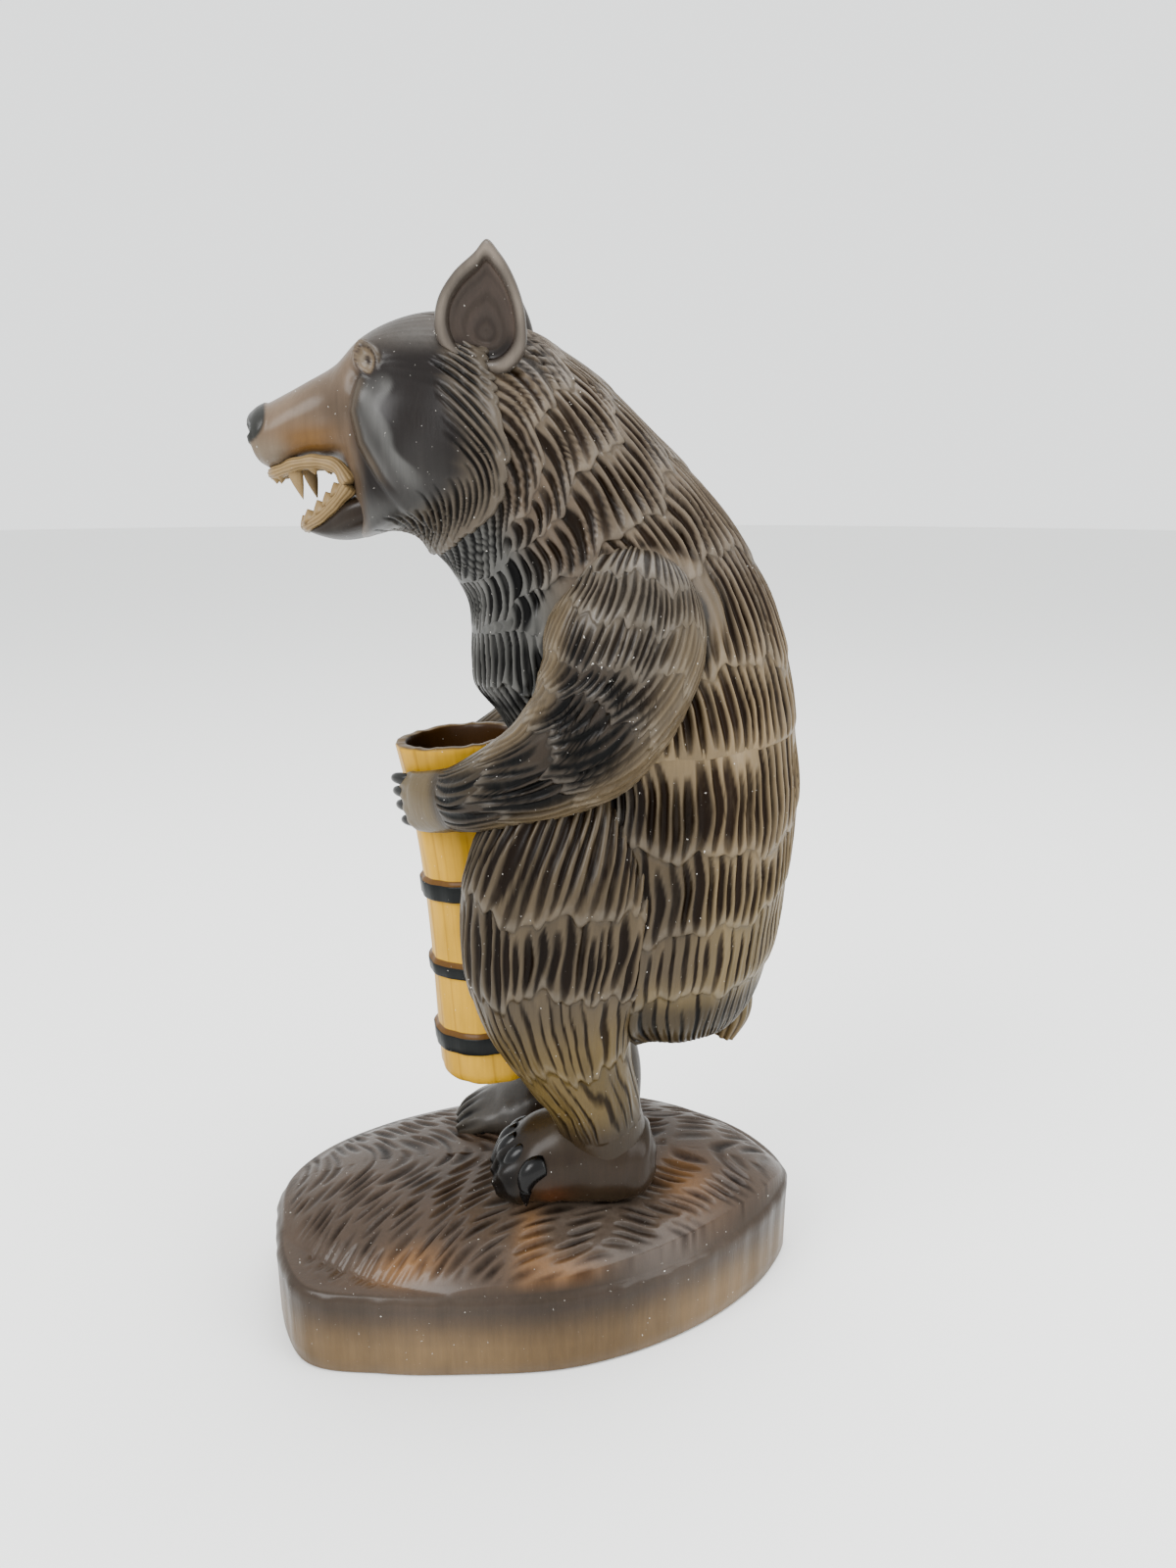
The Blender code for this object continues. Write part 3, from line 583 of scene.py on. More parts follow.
def carved_rows(edges, columns, girth, pitch, depth, width, seed, step=1.1, slant=0.0,
                crown=0.0, tongue=0.6, curl=0.0, web=1.6, through=0.0, lean_by=1.0):
    """Rows of gouge cuts one over the other.

    In each row the turn and the distance give x, the count of cuts passed. A cut's section
    is 1 - (t / width)^2 with t from -1 to 1 across the cut, its length a half sine to the
    power 0.55, so both ends close like a leaf and leave a smooth web over the row's low
    edge. Each row swells by its step over that edge and sinks to the next row's edge.
    Where through is 1 the rows pass into one another.
    """
    rows = len(edges) - 1
    turn = turns(columns)
    pitch, depth, width, step, slant, crown, tongue, curl = (
        np.broadcast_to(np.asarray(value, dtype=float), (rows,))
        for value in (pitch, depth, width, step, slant, crown, tongue, curl)
    )
    means = [edge.mean() for edge in edges]
    middles = [(means[row] + means[row + 1]) / 2 for row in range(rows)]
    counts = [max(8, int(round(girth(middles[row]) / pitch[row]))) for row in range(rows)]

    def passed(row, along):
        uneven = 0.34 * np.sin(3 * turn + seed + row) + 0.24 * np.sin(7 * turn + 2.1 * row)
        lean = lean_by * slant[row] * (along - means[row]) / pitch[row]
        return turn / (2 * pi) * counts[row] + uneven + lean + dice(row, seed, 1.0)

    def low_edge(row):
        """A row's low edge wanders round the body, and each ridge hangs a tongue over it."""
        x = passed(row, edges[row])
        ridge = np.round(x)
        bump = 1 - (2 * (x - ridge)) ** 2
        hang = tongue[row] * (0.1 + 1.3 * dice(ridge % counts[row], row, seed)) * bump
        wander = 2.2 * np.sin(3 * turn + 1.7 * row + seed) + 1.6 * np.sin(7 * turn + row + seed)
        wander = wander + 1.0 * np.sin(17 * turn + 2.3 * row + seed) + 0.6 * np.sin(31 * turn + seed)
        wander = wander * np.minimum(1.0, (edges[row + 1] - edges[row]) / 14.0)
        return edges[row] + (wander - hang + 0.5 * tongue[row]) * (row > 0)

    lows = [low_edge(row) for row in range(rows)] + [edges[rows]]
    share = ROW_SHARES[:, None]
    made = []
    for row in range(rows):
        length = lows[row + 1] - lows[row]
        along = lows[row] + length * share
        x = passed(row, along) + curl[row] * np.sin(pi * share) + 0.07 * np.sin(0.45 * along + 9 * turn)
        groove, t = parted(x, counts[row], row, seed)
        index = groove % counts[row]
        grown = slope(length, 2.5, 7.0)
        start = (web * dice(index, row, seed + 2) - 0.3) / np.maximum(length, 1.0)
        end = 1.12 - 0.30 * dice(index, row, seed + 3) ** 1.5
        lens = np.sin(pi * np.clip((share - start) / (end - start), 0, 1)) ** 0.55
        across = width[row] * (0.76 + 0.34 * dice(index, row, seed + 4)) * (0.35 + 0.65 * lens)
        section = np.clip(1 - (t / across) ** 2, 0, 1)
        deep = depth[row] * (0.5 + 0.75 * dice(index, row, seed + 5)) * grown
        lens = lens + (1 - lens) * 0.6 * through
        full = grown * (1 - 0.9 * through)
        rise = 0.6 * step[row] * full * (1 - share) ** 1.3 * slope(share * length, -0.6, 2.2)
        round_rib = crown[row] * (1 - np.abs(t) ** 2.5) * np.minimum(1, 4 * share) * (1 - share**3)
        wobble = 0.12 * np.sin(11 * turn + 0.21 * along + seed) + 0.10 * np.sin(0.33 * along + 5 * turn)
        stain_in = 0.78 + 0.22 * dice(index, row, seed + 9)
        # Painted shade: under_shade darkens a row's top where it tucks beneath the next row's lip, foot a
        # row's bottom just over its own lip
        under_shade = np.exp(-(1 - share) * length / 1.1) * (row < rows - 1)
        foot = np.exp(-share * length / 0.4) * (row > 0)
        made.append({
            "along": along,
            "lift": rise + round_rib - deep * lens * section**0.85 + wobble,
            "cut": np.clip(1.6 * section, 0, 1) * lens**0.4 * stain_in * grown,
            "lip": bell(share * length, 1.4, 1.5) * (1 - section) * full * (row > 0),
            "shade": (0.8 * under_shade + 0.5 * foot) * (0.1 + 0.5 * dice(index, row, seed + 6)) * full,
            "vary": 0.80 + 0.34 * dice(np.round(x) % counts[row], row, seed + 7),
        })
    marks = stacked(*made)
    marks["along"] = rising(marks["along"])
    marks["turn"] = np.broadcast_to(turn, marks["along"].shape).copy()
    return marks


def plain_rings(distances, columns):
    """Uncarved rings at the distances asked for, as carved_rows gives them."""
    along = np.repeat(np.asarray(distances, dtype=float)[:, None], columns, axis=1)
    marks = {"along": along, "turn": np.broadcast_to(turns(columns), along.shape).copy()}
    marks.update({key: np.zeros(along.shape) for key in ("lift", "cut", "lip", "shade")})
    marks["vary"] = np.ones(along.shape)
    return marks


def tucked(columns, along, depth):
    """One ring just beneath the surface, to close a piece where another covers it."""
    ring = plain_rings([0.0], columns)
    ring["along"] = ring["along"] + along
    ring["lift"] = ring["lift"] - depth
    return ring


# Where limbs leave the trunk


def skin_out(middle, wide, share, past_end):
    """How far out a rounded section's skin lies, falling away past its edges and its end."""
    inside = middle + wide * np.sqrt(np.clip(1 - share**2, 0, 1))
    return inside - 2.2 * wide * np.clip(share - 1, 0, 2) - 3.0 * np.clip(past_end, 0, 20)


def limb_side(y, z, sections):
    """How far out an upright limb's skin lies at a place on the flank."""
    table = np.array(sections, dtype=float)[::-1]
    x, middle, deep, wide = (np.interp(z, table[:, 2], table[:, k]) for k in (0, 1, 3, 4))
    return skin_out(x, wide, np.abs(y - middle) / deep, z - table[-1, 2])


def side_of_leg(y, z):
    return limb_side(y, z, LEG_SECTIONS)


def side_of_trunk(y, z):
    """How far out the trunk's skin lies at a place on the flank."""
    table = BODY_SECTIONS[2:12]
    height = (table[:, 1] + table[:, 3]) / 2
    middle = np.interp(z, height, (table[:, 0] + table[:, 2]) / 2)
    deep = np.interp(z, height, (table[:, 2] - table[:, 0]) / 2)
    wide = np.interp(z, height, table[:, 4])
    return skin_out(0.0, wide, np.abs(y - middle) / deep, height[0] - z)


def away_from_limb(points, sections, low):
    """Distance in the y-z plane from the line where a limb comes out of the flank, over a height."""
    x, y, z = np.abs(points[..., 0]), points[..., 1], points[..., 2]
    apart = x - limb_side(y, z, sections)
    crossed = np.zeros(apart.shape, dtype=bool)
    crossed[:-1] |= apart[:-1] * apart[1:] < 0
    crossed[:, :-1] |= apart[:, :-1] * apart[:, 1:] < 0
    line = points[crossed & (z > low)]
    line = line[:: max(1, len(line) // 400)]
    nearest = np.full(points.shape[:-1], 1e3)
    for place in line:
        nearest = np.minimum(nearest, np.hypot(y - place[1], z - place[2]))
    return nearest


# Height up to which a leg's skin and the trunk's flow into each other

BLEND_TOP = 142.0


def blended(points, other, turn_out):
    """Two skins flow into each other: both rise by (k - d)^2 / 4k where they cross, d apart.

    The reach k is wide at the rump and narrower at the waist.
    """
    x = np.abs(points[..., 0])
    apart = x - other(points[..., 1], points[..., 2])
    reach = 8.0 + 6.0 * slope(points[..., 2], 122, 92)
    near = np.clip(reach - np.clip(apart, 0, None), 0, None)
    push = near**2 / (4 * reach) - np.clip(0.35 * np.clip(-apart, 0, None), 0, 3)
    push = push * turn_out * slope(x, 12, 20) * (points[..., 2] < BLEND_TOP)
    moved = points.copy()
    moved[..., 0] = moved[..., 0] + np.sign(points[..., 0]) * push
    return moved


# Pieces


def kept_in_box(placed):
    """Draws a side that stands past the solids' box in towards the piece's middle, each point
    in proportion to its distance from there. The top and the sides keep a hair's clearance.
    """
    middle = (placed.min(axis=0) + placed.max(axis=0)) / 2
    offset = placed - middle
    room_up = np.array(cad_high) - BOX_CLEARANCE - middle
    room_down = middle - np.array(cad_low) - BOX_CLEARANCE * np.array([1.0, 1.0, 0.0])
    up = np.minimum(1.0, room_up / offset.max(axis=0))
    down = np.minimum(1.0, room_down / -offset.min(axis=0))
    return middle + offset * np.where(offset > 0, up, down)


def closed_net(points, poles):
    """A grid of rings closed by a fan to each pole, facing outwards.

    Gives its points, the corners of its faces and where each face starts among them.
    """
    rings, columns = points.shape[:2]
    solid = np.vstack([points.reshape(-1, 3), poles])
    place = np.arange(rings * columns).reshape(rings, columns)
    beside = np.roll(place, -1, axis=1)
    quads = np.stack([place[:-1], beside[:-1], beside[1:], place[1:]], axis=-1).reshape(-1, 4)
    low = np.stack([beside[0], place[0], np.full(columns, rings * columns)], axis=-1)
    high = np.stack([place[-1], beside[-1], np.full(columns, rings * columns + 1)], axis=-1)
    fans = np.vstack([low, high])
    thirds = np.vstack([quads[:, [0, 1, 2]], quads[:, [0, 2, 3]], fans])
    a, b, c = (solid[thirds[:, k]] for k in range(3))
    if (a * np.cross(b, c)).sum() < 0:
        quads, fans = quads[:, ::-1], fans[:, ::-1]
    corners = np.concatenate([quads.ravel(), fans.ravel()]).astype(np.int32)
    starts = np.concatenate([np.arange(len(quads)) * 4, len(quads) * 4 + np.arange(len(fans)) * 3])
    return solid, corners, starts.astype(np.int32)


def placed_object(name, data):
    """A new object of the scene that holds the data."""
    made = bpy.data.objects.new(name, data)
    bpy.context.scene.collection.objects.link(made)
    return made


def make_piece(name, points, stains, marks, material,
               nodes=("carved_bear",), poles=None):
    """A closed piece over a grid (ring, column, xyz), which carries its tones and its marks."""
    rings, columns = points.shape[:2]
    if poles is None:
        poles = points[[0, -1]].mean(axis=1)
    solid, corners, starts = closed_net(points, poles)
    placed = kept_in_box((solid + np.array([0.0, 0.0, RIM_HEIGHT])) * MM)
    mesh = bpy.data.meshes.new(name)
    mesh.vertices.add(len(solid))
    mesh.loops.add(len(corners))
    mesh.polygons.add(len(starts))
    mesh.vertices.foreach_set("co", placed.astype(np.float32).ravel())
    mesh.loops.foreach_set("vertex_index", corners)
    mesh.polygons.foreach_set("loop_start", starts)
    mesh.update(calc_edges=True)
    mesh.polygons.foreach_set("use_smooth", np.ones(len(starts), dtype=bool))

    def carry(key, kind, field, values):
        """Values over the grid, with the mean of an end ring at its pole."""
        flat = np.asarray(values, dtype=float).reshape(rings * columns, -1)
        ends = np.stack([flat[:columns].mean(axis=0), flat[-columns:].mean(axis=0)])
        made = mesh.attributes.new(key, kind, "POINT")
        made.data.foreach_set(field, np.vstack([flat, ends]).astype(np.float32).ravel())

    plain = np.zeros((rings, columns))
    stains = stains * np.asarray(marks.get("vary", plain + 1.0))[..., None, None]
    for layer, key in enumerate(("ridge_tone", "cut_tone")):
        colour = np.concatenate([stains[..., layer, :], np.ones((rings, columns, 1))], axis=-1)
        carry(key, "FLOAT_COLOR", "color", colour)
    for key in ("cut", "lip", "shade", "dust"):
        carry(key, "FLOAT", "value", marks.get(key, plain))
    mesh.materials.append(material)
    piece = placed_object(name, mesh)
    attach(piece, "root")
    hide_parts(*nodes)


# Materials

DUST_COLOUR = (0.62, 0.59, 0.54, 1.0)
WORN_COLOUR = (0.55, 0.50, 0.43, 1.0)


def feed(tree, socket, value):
    """Links an input to another node's output, or sets it to a number or a colour."""
    if isinstance(value, bpy.types.NodeSocket):
        tree.links.new(value, socket)
    else:
        socket.default_value = value


def add_group(name, inputs, outputs):
    """An empty shader group with its inputs and their values, and its outputs."""
    group = bpy.data.node_groups.new(name, "ShaderNodeTree")
    kinds = {True: "NodeSocketColor", False: "NodeSocketFloat"}
    for label, value in inputs.items():
        kind = kinds[isinstance(value, tuple)]
        group.interface.new_socket(name=label, in_out="INPUT", socket_type=kind).default_value = value
    for label in outputs:
        group.interface.new_socket(name=label, in_out="OUTPUT", socket_type=kinds[label == "Color"])
    return group, group.nodes.new("NodeGroupInput").outputs, group.nodes.new("NodeGroupOutput").inputs


def use_group(tree, group, values):
    """A shader group placed in a material and fed with its values; gives its outputs."""
    node = tree.nodes.new("ShaderNodeGroup")
    node.node_tree = group
    for label, value in values.items():
        feed(tree, node.inputs[label], value)
    return node.outputs


def maths(tree, operation, *values, clamp=False):
    """A Math node fed with sockets or numbers; gives its output."""
    node = tree.nodes.new("ShaderNodeMath")
    node.operation = operation
    node.use_clamp = clamp
    for socket, value in zip(node.inputs, values):
        feed(tree, socket, value)
    return node.outputs[0]


def colour_mix(tree, kind, share, first, second):
    """A colour Mix node; gives its output."""
    node = tree.nodes.new("ShaderNodeMix")
    node.data_type = "RGBA"
    node.blend_type = kind
    for place, value in ((0, share), (6, first), (7, second)):
        feed(tree, node.inputs[place], value)
    return node.outputs[2]


def times(tree, colour, factor):
    """A colour times one factor for red, green and blue."""
    tint = tree.nodes.new("ShaderNodeCombineColor")
    for socket in tint.inputs:
        tree.links.new(factor, socket)
    return colour_mix(tree, "MULTIPLY", 1.0, colour, tint.outputs[0])


def object_noise(tree, scale, detail=3.0, stretch=(1.0, 1.0, 1.0), roughness=0.55):
    """Noise on the object's own coordinates, drawn out along an axis; gives its factor."""
    where = tree.nodes.new("ShaderNodeTexCoord")
    mapping = tree.nodes.new("ShaderNodeMapping")
    mapping.inputs["Scale"].default_value = stretch
    tree.links.new(where.outputs["Object"], mapping.inputs["Vector"])
    noise = tree.nodes.new("ShaderNodeTexNoise")
    for label, value in (("Scale", scale), ("Detail", detail), ("Roughness", roughness)):
        noise.inputs[label].default_value = value
    tree.links.new(mapping.outputs["Vector"], noise.inputs["Vector"])
    return noise.outputs["Fac"]


def make_grain_group():
    """Upright wood grain: fine streaks, broad bands and blotches that darken the stain."""
    group, start, end = add_group(
        "wood grain", {"Color": (0.5, 0.5, 0.5, 1.0), "Strength": 0.3}, ("Color", "Height"),
    )
    fine = object_noise(group, 900.0, 4.0, (1.0, 1.0, 0.07), 0.6)
    broad = object_noise(group, 120.0, 3.0, (1.0, 1.0, 0.16))
    blotch = object_noise(group, 55.0, 3.0)
    both = maths(group, "MULTIPLY_ADD", fine, 0.5, maths(group, "MULTIPLY", broad, 0.5))
    swing = maths(group, "MULTIPLY", maths(group, "SUBTRACT", both, 0.5), 2.6)
    mottle = maths(group, "MULTIPLY", maths(group, "SUBTRACT", blotch, 0.5), 2.2)
    shift = maths(group, "MULTIPLY", maths(group, "ADD", swing, mottle), start["Strength"])
    group.links.new(times(group, start["Color"], maths(group, "ADD", shift, 1.0)), end["Color"])
    group.links.new(fine, end["Height"])
    return group


def make_carving_group():
    """Stain lies dark in the cuts and is rubbed pale on the rows' edges, and the shade mark darkens the
    colour as painted shade in creases and beneath the rows' lips.
    """
    group, start, end = add_group(
        "carved stain",
        {
            "Ridge": (0.2, 0.16, 0.12, 1.0), "Cut colour": (0.03, 0.02, 0.01, 1.0),
            "Cut": 0.0, "Lip": 0.0, "Shade": 0.0, "Rubbed": 0.3,
        },
        ("Color", "Cut mask"),
    )
    smear = object_noise(group, 420.0, 3.0, (1.0, 1.0, 0.25))
    pooled = maths(group, "MULTIPLY", start["Cut"], maths(group, "MULTIPLY_ADD", smear, 0.9, 0.75))
    pooled = maths(group, "MINIMUM", pooled, 1.0)
    base = colour_mix(group, "MIX", pooled, start["Ridge"], start["Cut colour"])
    patch = maths(group, "MULTIPLY", object_noise(group, 260.0, 2.0), 1.7)
    rub = maths(group, "MULTIPLY", start["Lip"], start["Rubbed"])
    rub = maths(group, "MULTIPLY", rub, patch, clamp=True)
    lighter = colour_mix(group, "MIX", 0.45, start["Ridge"], WORN_COLOUR)
    worn = colour_mix(group, "MIX", rub, base, lighter)
    # Painted shade from the shade mark
    dark = maths(group, "SUBTRACT", 1.0, maths(group, "MULTIPLY", start["Shade"], 0.8))
    group.links.new(times(group, worn, dark), end["Color"])
    group.links.new(pooled, end["Cut mask"])
    return group


def make_dust_group():
    """Pale flecks of dust and dried varnish caught on the carving."""
    group, start, end = add_group(
        "dust flecks", {"Color": (0.5, 0.5, 0.5, 1.0), "Dust": 0.0, "All over": 0.02}, ("Color", "Mask"),
    )
    fleck = object_noise(group, 1100.0, 2.0)
    amount = maths(group, "ADD", start["Dust"], start["All over"])
    level = maths(group, "SUBTRACT", 0.74, maths(group, "MULTIPLY", amount, 0.2))
    mask = maths(group, "MULTIPLY", maths(group, "SUBTRACT", fleck, level), 14.0, clamp=True)
    group.links.new(colour_mix(group, "MIX", mask, start["Color"], DUST_COLOUR), end["Color"])
    group.links.new(mask, end["Mask"])
    return group


GRAIN = make_grain_group()
CARVING = make_carving_group()
DUST = make_dust_group()


def varnished(name, grain, roughness, coat, rubbed, bump, dust=0.008, sheen_noise=0.14):
    """A stained and varnished wood that takes its tones and marks from the mesh."""
    material = bpy.data.materials.new(name)
    material.use_nodes = True
    tree = material.node_tree
    shader = tree.nodes["Principled BSDF"]

    def mark(label, output="Fac"):
        node = tree.nodes.new("ShaderNodeAttribute")
        node.attribute_name = label
        return node.outputs[output]

    carved = use_group(tree, CARVING, {
        "Ridge": mark("ridge_tone", "Color"), "Cut colour": mark("cut_tone", "Color"),
        "Cut": mark("cut"), "Lip": mark("lip"), "Shade": mark("shade"), "Rubbed": rubbed,
    })
    wood = use_group(tree, GRAIN, {"Color": carved["Color"], "Strength": grain})
    flecks = use_group(tree, DUST, {"Color": wood["Color"], "Dust": mark("dust"), "All over": dust})
    patchy = object_noise(tree, 70.0, 3.0)
    rough = maths(tree, "MULTIPLY_ADD", patchy, sheen_noise * 2, roughness - sheen_noise)
    rough = maths(tree, "ADD", rough, maths(tree, "MULTIPLY", flecks["Mask"], 0.3), clamp=True)
    relief = tree.nodes.new("ShaderNodeBump")
    for label, value in (("Strength", bump), ("Distance", 0.0004), ("Height", wood["Height"])):
        feed(tree, relief.inputs[label], value)
    for label, value in (
        ("Base Color", flecks["Color"]), ("Roughness", rough), ("Normal", relief.outputs["Normal"]),
        ("Coat Weight", maths(tree, "MULTIPLY_ADD", carved["Cut mask"], -0.8 * coat, coat)),
        ("Coat Roughness", 0.25), ("Specular IOR Level", 0.04),
    ):
        feed(tree, shader.inputs[label], value)
    return material


# Each finish by its grain, roughness, coat of varnish, rubbed edges and bump

FUR = varnished("stained fur", 0.28, 0.42, 0.24, 0.12, 0.4)
FACE = varnished("stained face", 0.34, 0.40, 0.20, 0.1, 0.25)
BLACK = varnished("black claws", 0.25, 0.24, 0.30, 0.1, 0.1)
GUMS = varnished("pale gums", 0.20, 0.45, 0.15, 0.2, 0.2)
GROUND = varnished("stained ground", 0.30, 0.36, 0.32, 0.2, 0.3, dust=0.03)
OCHRE = varnished("ochre barrel", 0.24, 0.42, 0.12, 0.3, 0.3)


# Trunk, whose lower piece ends and upper piece starts at the split

TRUNK_SPLIT = 90.0
SHOULDER_ROW = 131.0
RUFF_AT_SIDE = 192.0


def body_girth(along):
    return girth_of(body_surface, along, 181)


def trunk_marks(points):
    """Cuts fade in an arched band over the arm, with a thin line of painted shade on either side of it where
    the creases run.
    """
    arm = away_from_limb(points, ARM_SECTIONS[:7], 140.0)
    z = points[..., 2]
    flank = np.abs(points[..., 0]) > 8
    band = np.where(flank, 1 - 0.9 * slope(arm, 7.0, 4.0) * slope(z, 172, 182), 1.0)
    line = 0.55 * bell(arm, 6.2, 0.6) * slope(z, 176, 184)
    crease = np.where(flank, np.maximum(slope(arm, 1.4, 0.3), line), 0.0)
    return band, crease


def trunk_stains(points, turn):
    """Nape and flank grey-brown, lower trunk and rump golden, chest and throat near black, and painted shade
    low on the trunk by the ground.
    """
    y, z = points[..., 1], points[..., 2]
    side = degrees_from_back(turn)
    return stained(
        points, "flank",
        ("nape", slope(z, 150, 200)),
        ("low flank", slope(z, 132, 96)),
        ("rump", slope(z, 90, 74)),
        ("neck", slope(side, 62, 92) * slope(z, 178, 196)),
        ("thigh", slope(y, 60, 38) * slope(z, 150, 130) * slope(z, 78, 92)),
        # Painted shade on the bottom of the trunk
        ("under_shade", 0.9 * slope(z, 84, 77)),
        ("chest", slope(side, 96, 122) * slope(z, 120, 135)),
    )


def trunk_piece(name, edges, start, end, **carving):
    """Part of the trunk: rows of cuts between the rings that close it at either end."""
    rows = carved_rows(edges, TRUNK_COLUMNS, body_girth, **carving)
    rows["along"] = np.clip(rows["along"], 0.0, BODY_KNOTS[-1])
    marks = stacked(*start, rows, *end)
    marks["along"] = rising(marks["along"])
    band, crease = trunk_marks(body_surface(marks["along"], marks["turn"]))
    marks["lift"] = marks["lift"] * band
    marks["cut"] = marks["cut"] * band
    # Painted shade in the creases round the arm
    marks["shade"] = np.maximum(marks["shade"], crease)
    points = blended(lifted(body_surface, marks), side_of_leg, 1.0)
    make_piece(
        name, points, trunk_stains(points, marks["turn"]), marks, FUR,
        nodes=("carved_bear", "barrel"), poles=end_middles(body_surface, marks),
    )


def trunk():
    turn = turns(TRUNK_COLUMNS)
    ruff = by_turn(RUFF_EDGE, turn)
    squeeze = (ruff - SHOULDER_ROW) / (RUFF_AT_SIDE - SHOULDER_ROW)
    side = degrees_from_back(turn)
    front = slope(side, 108, 140)
    level = np.zeros(TRUNK_COLUMNS)

    def closing(along, depth):
        return tucked(TRUNK_COLUMNS, along, depth)

    trunk_piece(
        "trunk_low", [level + along for along in (4.0, 26.0, 47.0, 67.0, TRUNK_SPLIT)],
        [plain_rings([0.0, 1.5, 3.0], TRUNK_COLUMNS)],
        [closing(TRUNK_SPLIT + 2.0, 0.6), closing(TRUNK_SPLIT + 2.0, 3.0)],
        pitch=(3.6, 3.4, 3.1, 3.1), depth=(0.45, 0.7, 1.3, 1.5), width=(0.40, 0.56, 0.92, 0.96),
        seed=3.0, step=(0.6, 0.7, 0.8, 0.9), crown=(0.5, 0.4, 0.1, 0.0), tongue=(0.8, 0.7, 0.6, 0.6),
        slant=(0.0, 0.0, 0.0, 0.03), curl=(0.1, 0.1, 0.3, 0.35),
    )
    high = [level + TRUNK_SPLIT, level + 109.0 + 4.0 * front, level + SHOULDER_ROW]
    for at_side, at_front in ((149.0, 132.5), (166.0, 151.0), (178.0, 152.5)):
        side_edge = SHOULDER_ROW + (at_side - SHOULDER_ROW) * squeeze
        high.append(side_edge + (at_front - side_edge) * front)
    trunk_piece(
        "trunk_high", high + [ruff + 2.0],
        [closing(TRUNK_SPLIT - 0.5, 3.0), closing(TRUNK_SPLIT - 0.5, 0.2)], [closing(ruff + 4.0, 2.5)],
        pitch=(3.1, 3.1, 3.2, 3.1, 3.0, 2.8), depth=(1.5, 1.6, 1.6, 1.5, 1.4, 1.1),
        width=(0.96, 0.96, 0.94, 0.92, 0.90, 0.86), seed=8.0, step=(0.9, 1.0, 1.0, 0.9, 0.8, 0.6),
        slant=(0.03, 0.06, 0.12, 0.25, 0.36, 0.5), tongue=(0.7, 0.7, 0.7, 0.7, 0.6, 0.5),
        curl=(0.35, 0.4, 0.45, 0.4, 0.35, 0.3), through=0.9 * slope(side, 100, 124),
        lean_by=np.clip(2.5 * np.sin(turn), -1, 1),
    )


# Head

# Lines and a place in the y-z plane: the root of the ear, the cheek's fold and the eye, whose
# almond leans by its tilt in radians

EAR_ROOT = np.array(((-19.0, 250.0), (-14.0, 245.5), (-6.0, 242.0), (0.0, 243.0)))
FOLD = np.array((
    (-40.5, 239.0), (-42.5, 232.0), (-40.5, 224.0), (-35.5, 215.5), (-29.0, 207.0), (-24.0, 203.5),
))
EYE_AT = (-38.6, 244.4)
EYE_TILT = 0.35

# Girth of the head at the ruff, width of the ruff's cuts, and the points where the head's ends close

RUFF_GIRTH = 185.0
RUFF_PITCH = 1.95
HEAD_POLES = np.array([[0.0, -2.0, 225.0], [0.0, -72.6, 226.0]])


def beside_line(y, z, line):
    """Distance from a bent line in the y-z plane, above zero on its back side."""
    best = np.full(y.shape, 1e6)
    side = np.zeros(y.shape)
    for (y0, z0), (y1, z1) in zip(line[:-1], line[1:]):
        run = np.array([y1 - y0, z1 - z0])
        length = np.hypot(*run)
        share = np.clip(((y - y0) * run[0] + (z - z0) * run[1]) / length**2, 0, 1)
        away = np.hypot(y - y0 - share * run[0], z - z0 - share * run[1])
        cross = (run[0] * (z - z0) - run[1] * (y - y0)) / length
        nearer = away < best
        side = np.where(nearer, np.sign(cross), side)
        best = np.where(nearer, away, best)
    return best * side


def eye_place(points):
    """Where a point lies on the eye: forward, up, and its share of the almond's size."""
    forward = -(points[..., 1] - EYE_AT[0])
    up = points[..., 2] - EYE_AT[1]
    turned_f = forward * cos(EYE_TILT) - up * sin(EYE_TILT)
    turned_u = forward * sin(EYE_TILT) + up * cos(EYE_TILT)
    almond = 2.3 * (1 - 0.45 * np.clip(turned_u / 4.2, -1, 1) ** 2)
    return turned_f, turned_u, np.hypot(turned_f / almond, turned_u / 3.5)


def nose_pad(y, z):
    """1 on the nose's oval pad and 0 off it."""
    return slope(np.hypot((y + 74.0) / 8.4, (z - 230.8) / 7.2), 1.0, 0.88)


def nostril(points):
    """A small hole on either side of the nose."""
    y, z = points[..., 1], points[..., 2]
    hole = slope(np.hypot((y + 71.6) / 1.4, (z - 228.4) / 1.8), 1.2, 0.6)
    return hole * from_middle(points, 1.0, 2.0)


def face_lift(points):
    """Brow, socket, eyeball, cheek fold, nose and nostrils as pushes in millimetres."""
    y, z = points[..., 1], points[..., 2]
    f, u, share = eye_place(points)
    arch = 0.35 + 0.65 * slope(u - 0.6 * f, -3.0, 1.5)
    rim = 0.95 * bell(share, 1.32, 0.26) * arch
    socket = -1.15 * np.exp(-((share / 0.95) ** 4))
    ball = 0.9 * bell(np.hypot(f, u), 0.0, 1.5)
    eye = (rim + socket + ball) * from_middle(points, 7, 10) * slope(z, 234, 237)
    fold = beside_line(y, z, FOLD)
    crease = 0.5 * np.exp(-((fold - 1.2) ** 2) / 2.0) - 0.5 * np.exp(-((fold + 1.0) ** 2) / 1.2)
    return eye + crease * from_middle(points, 6, 9) + 0.45 * nose_pad(y, z) - 0.8 * nostril(points)


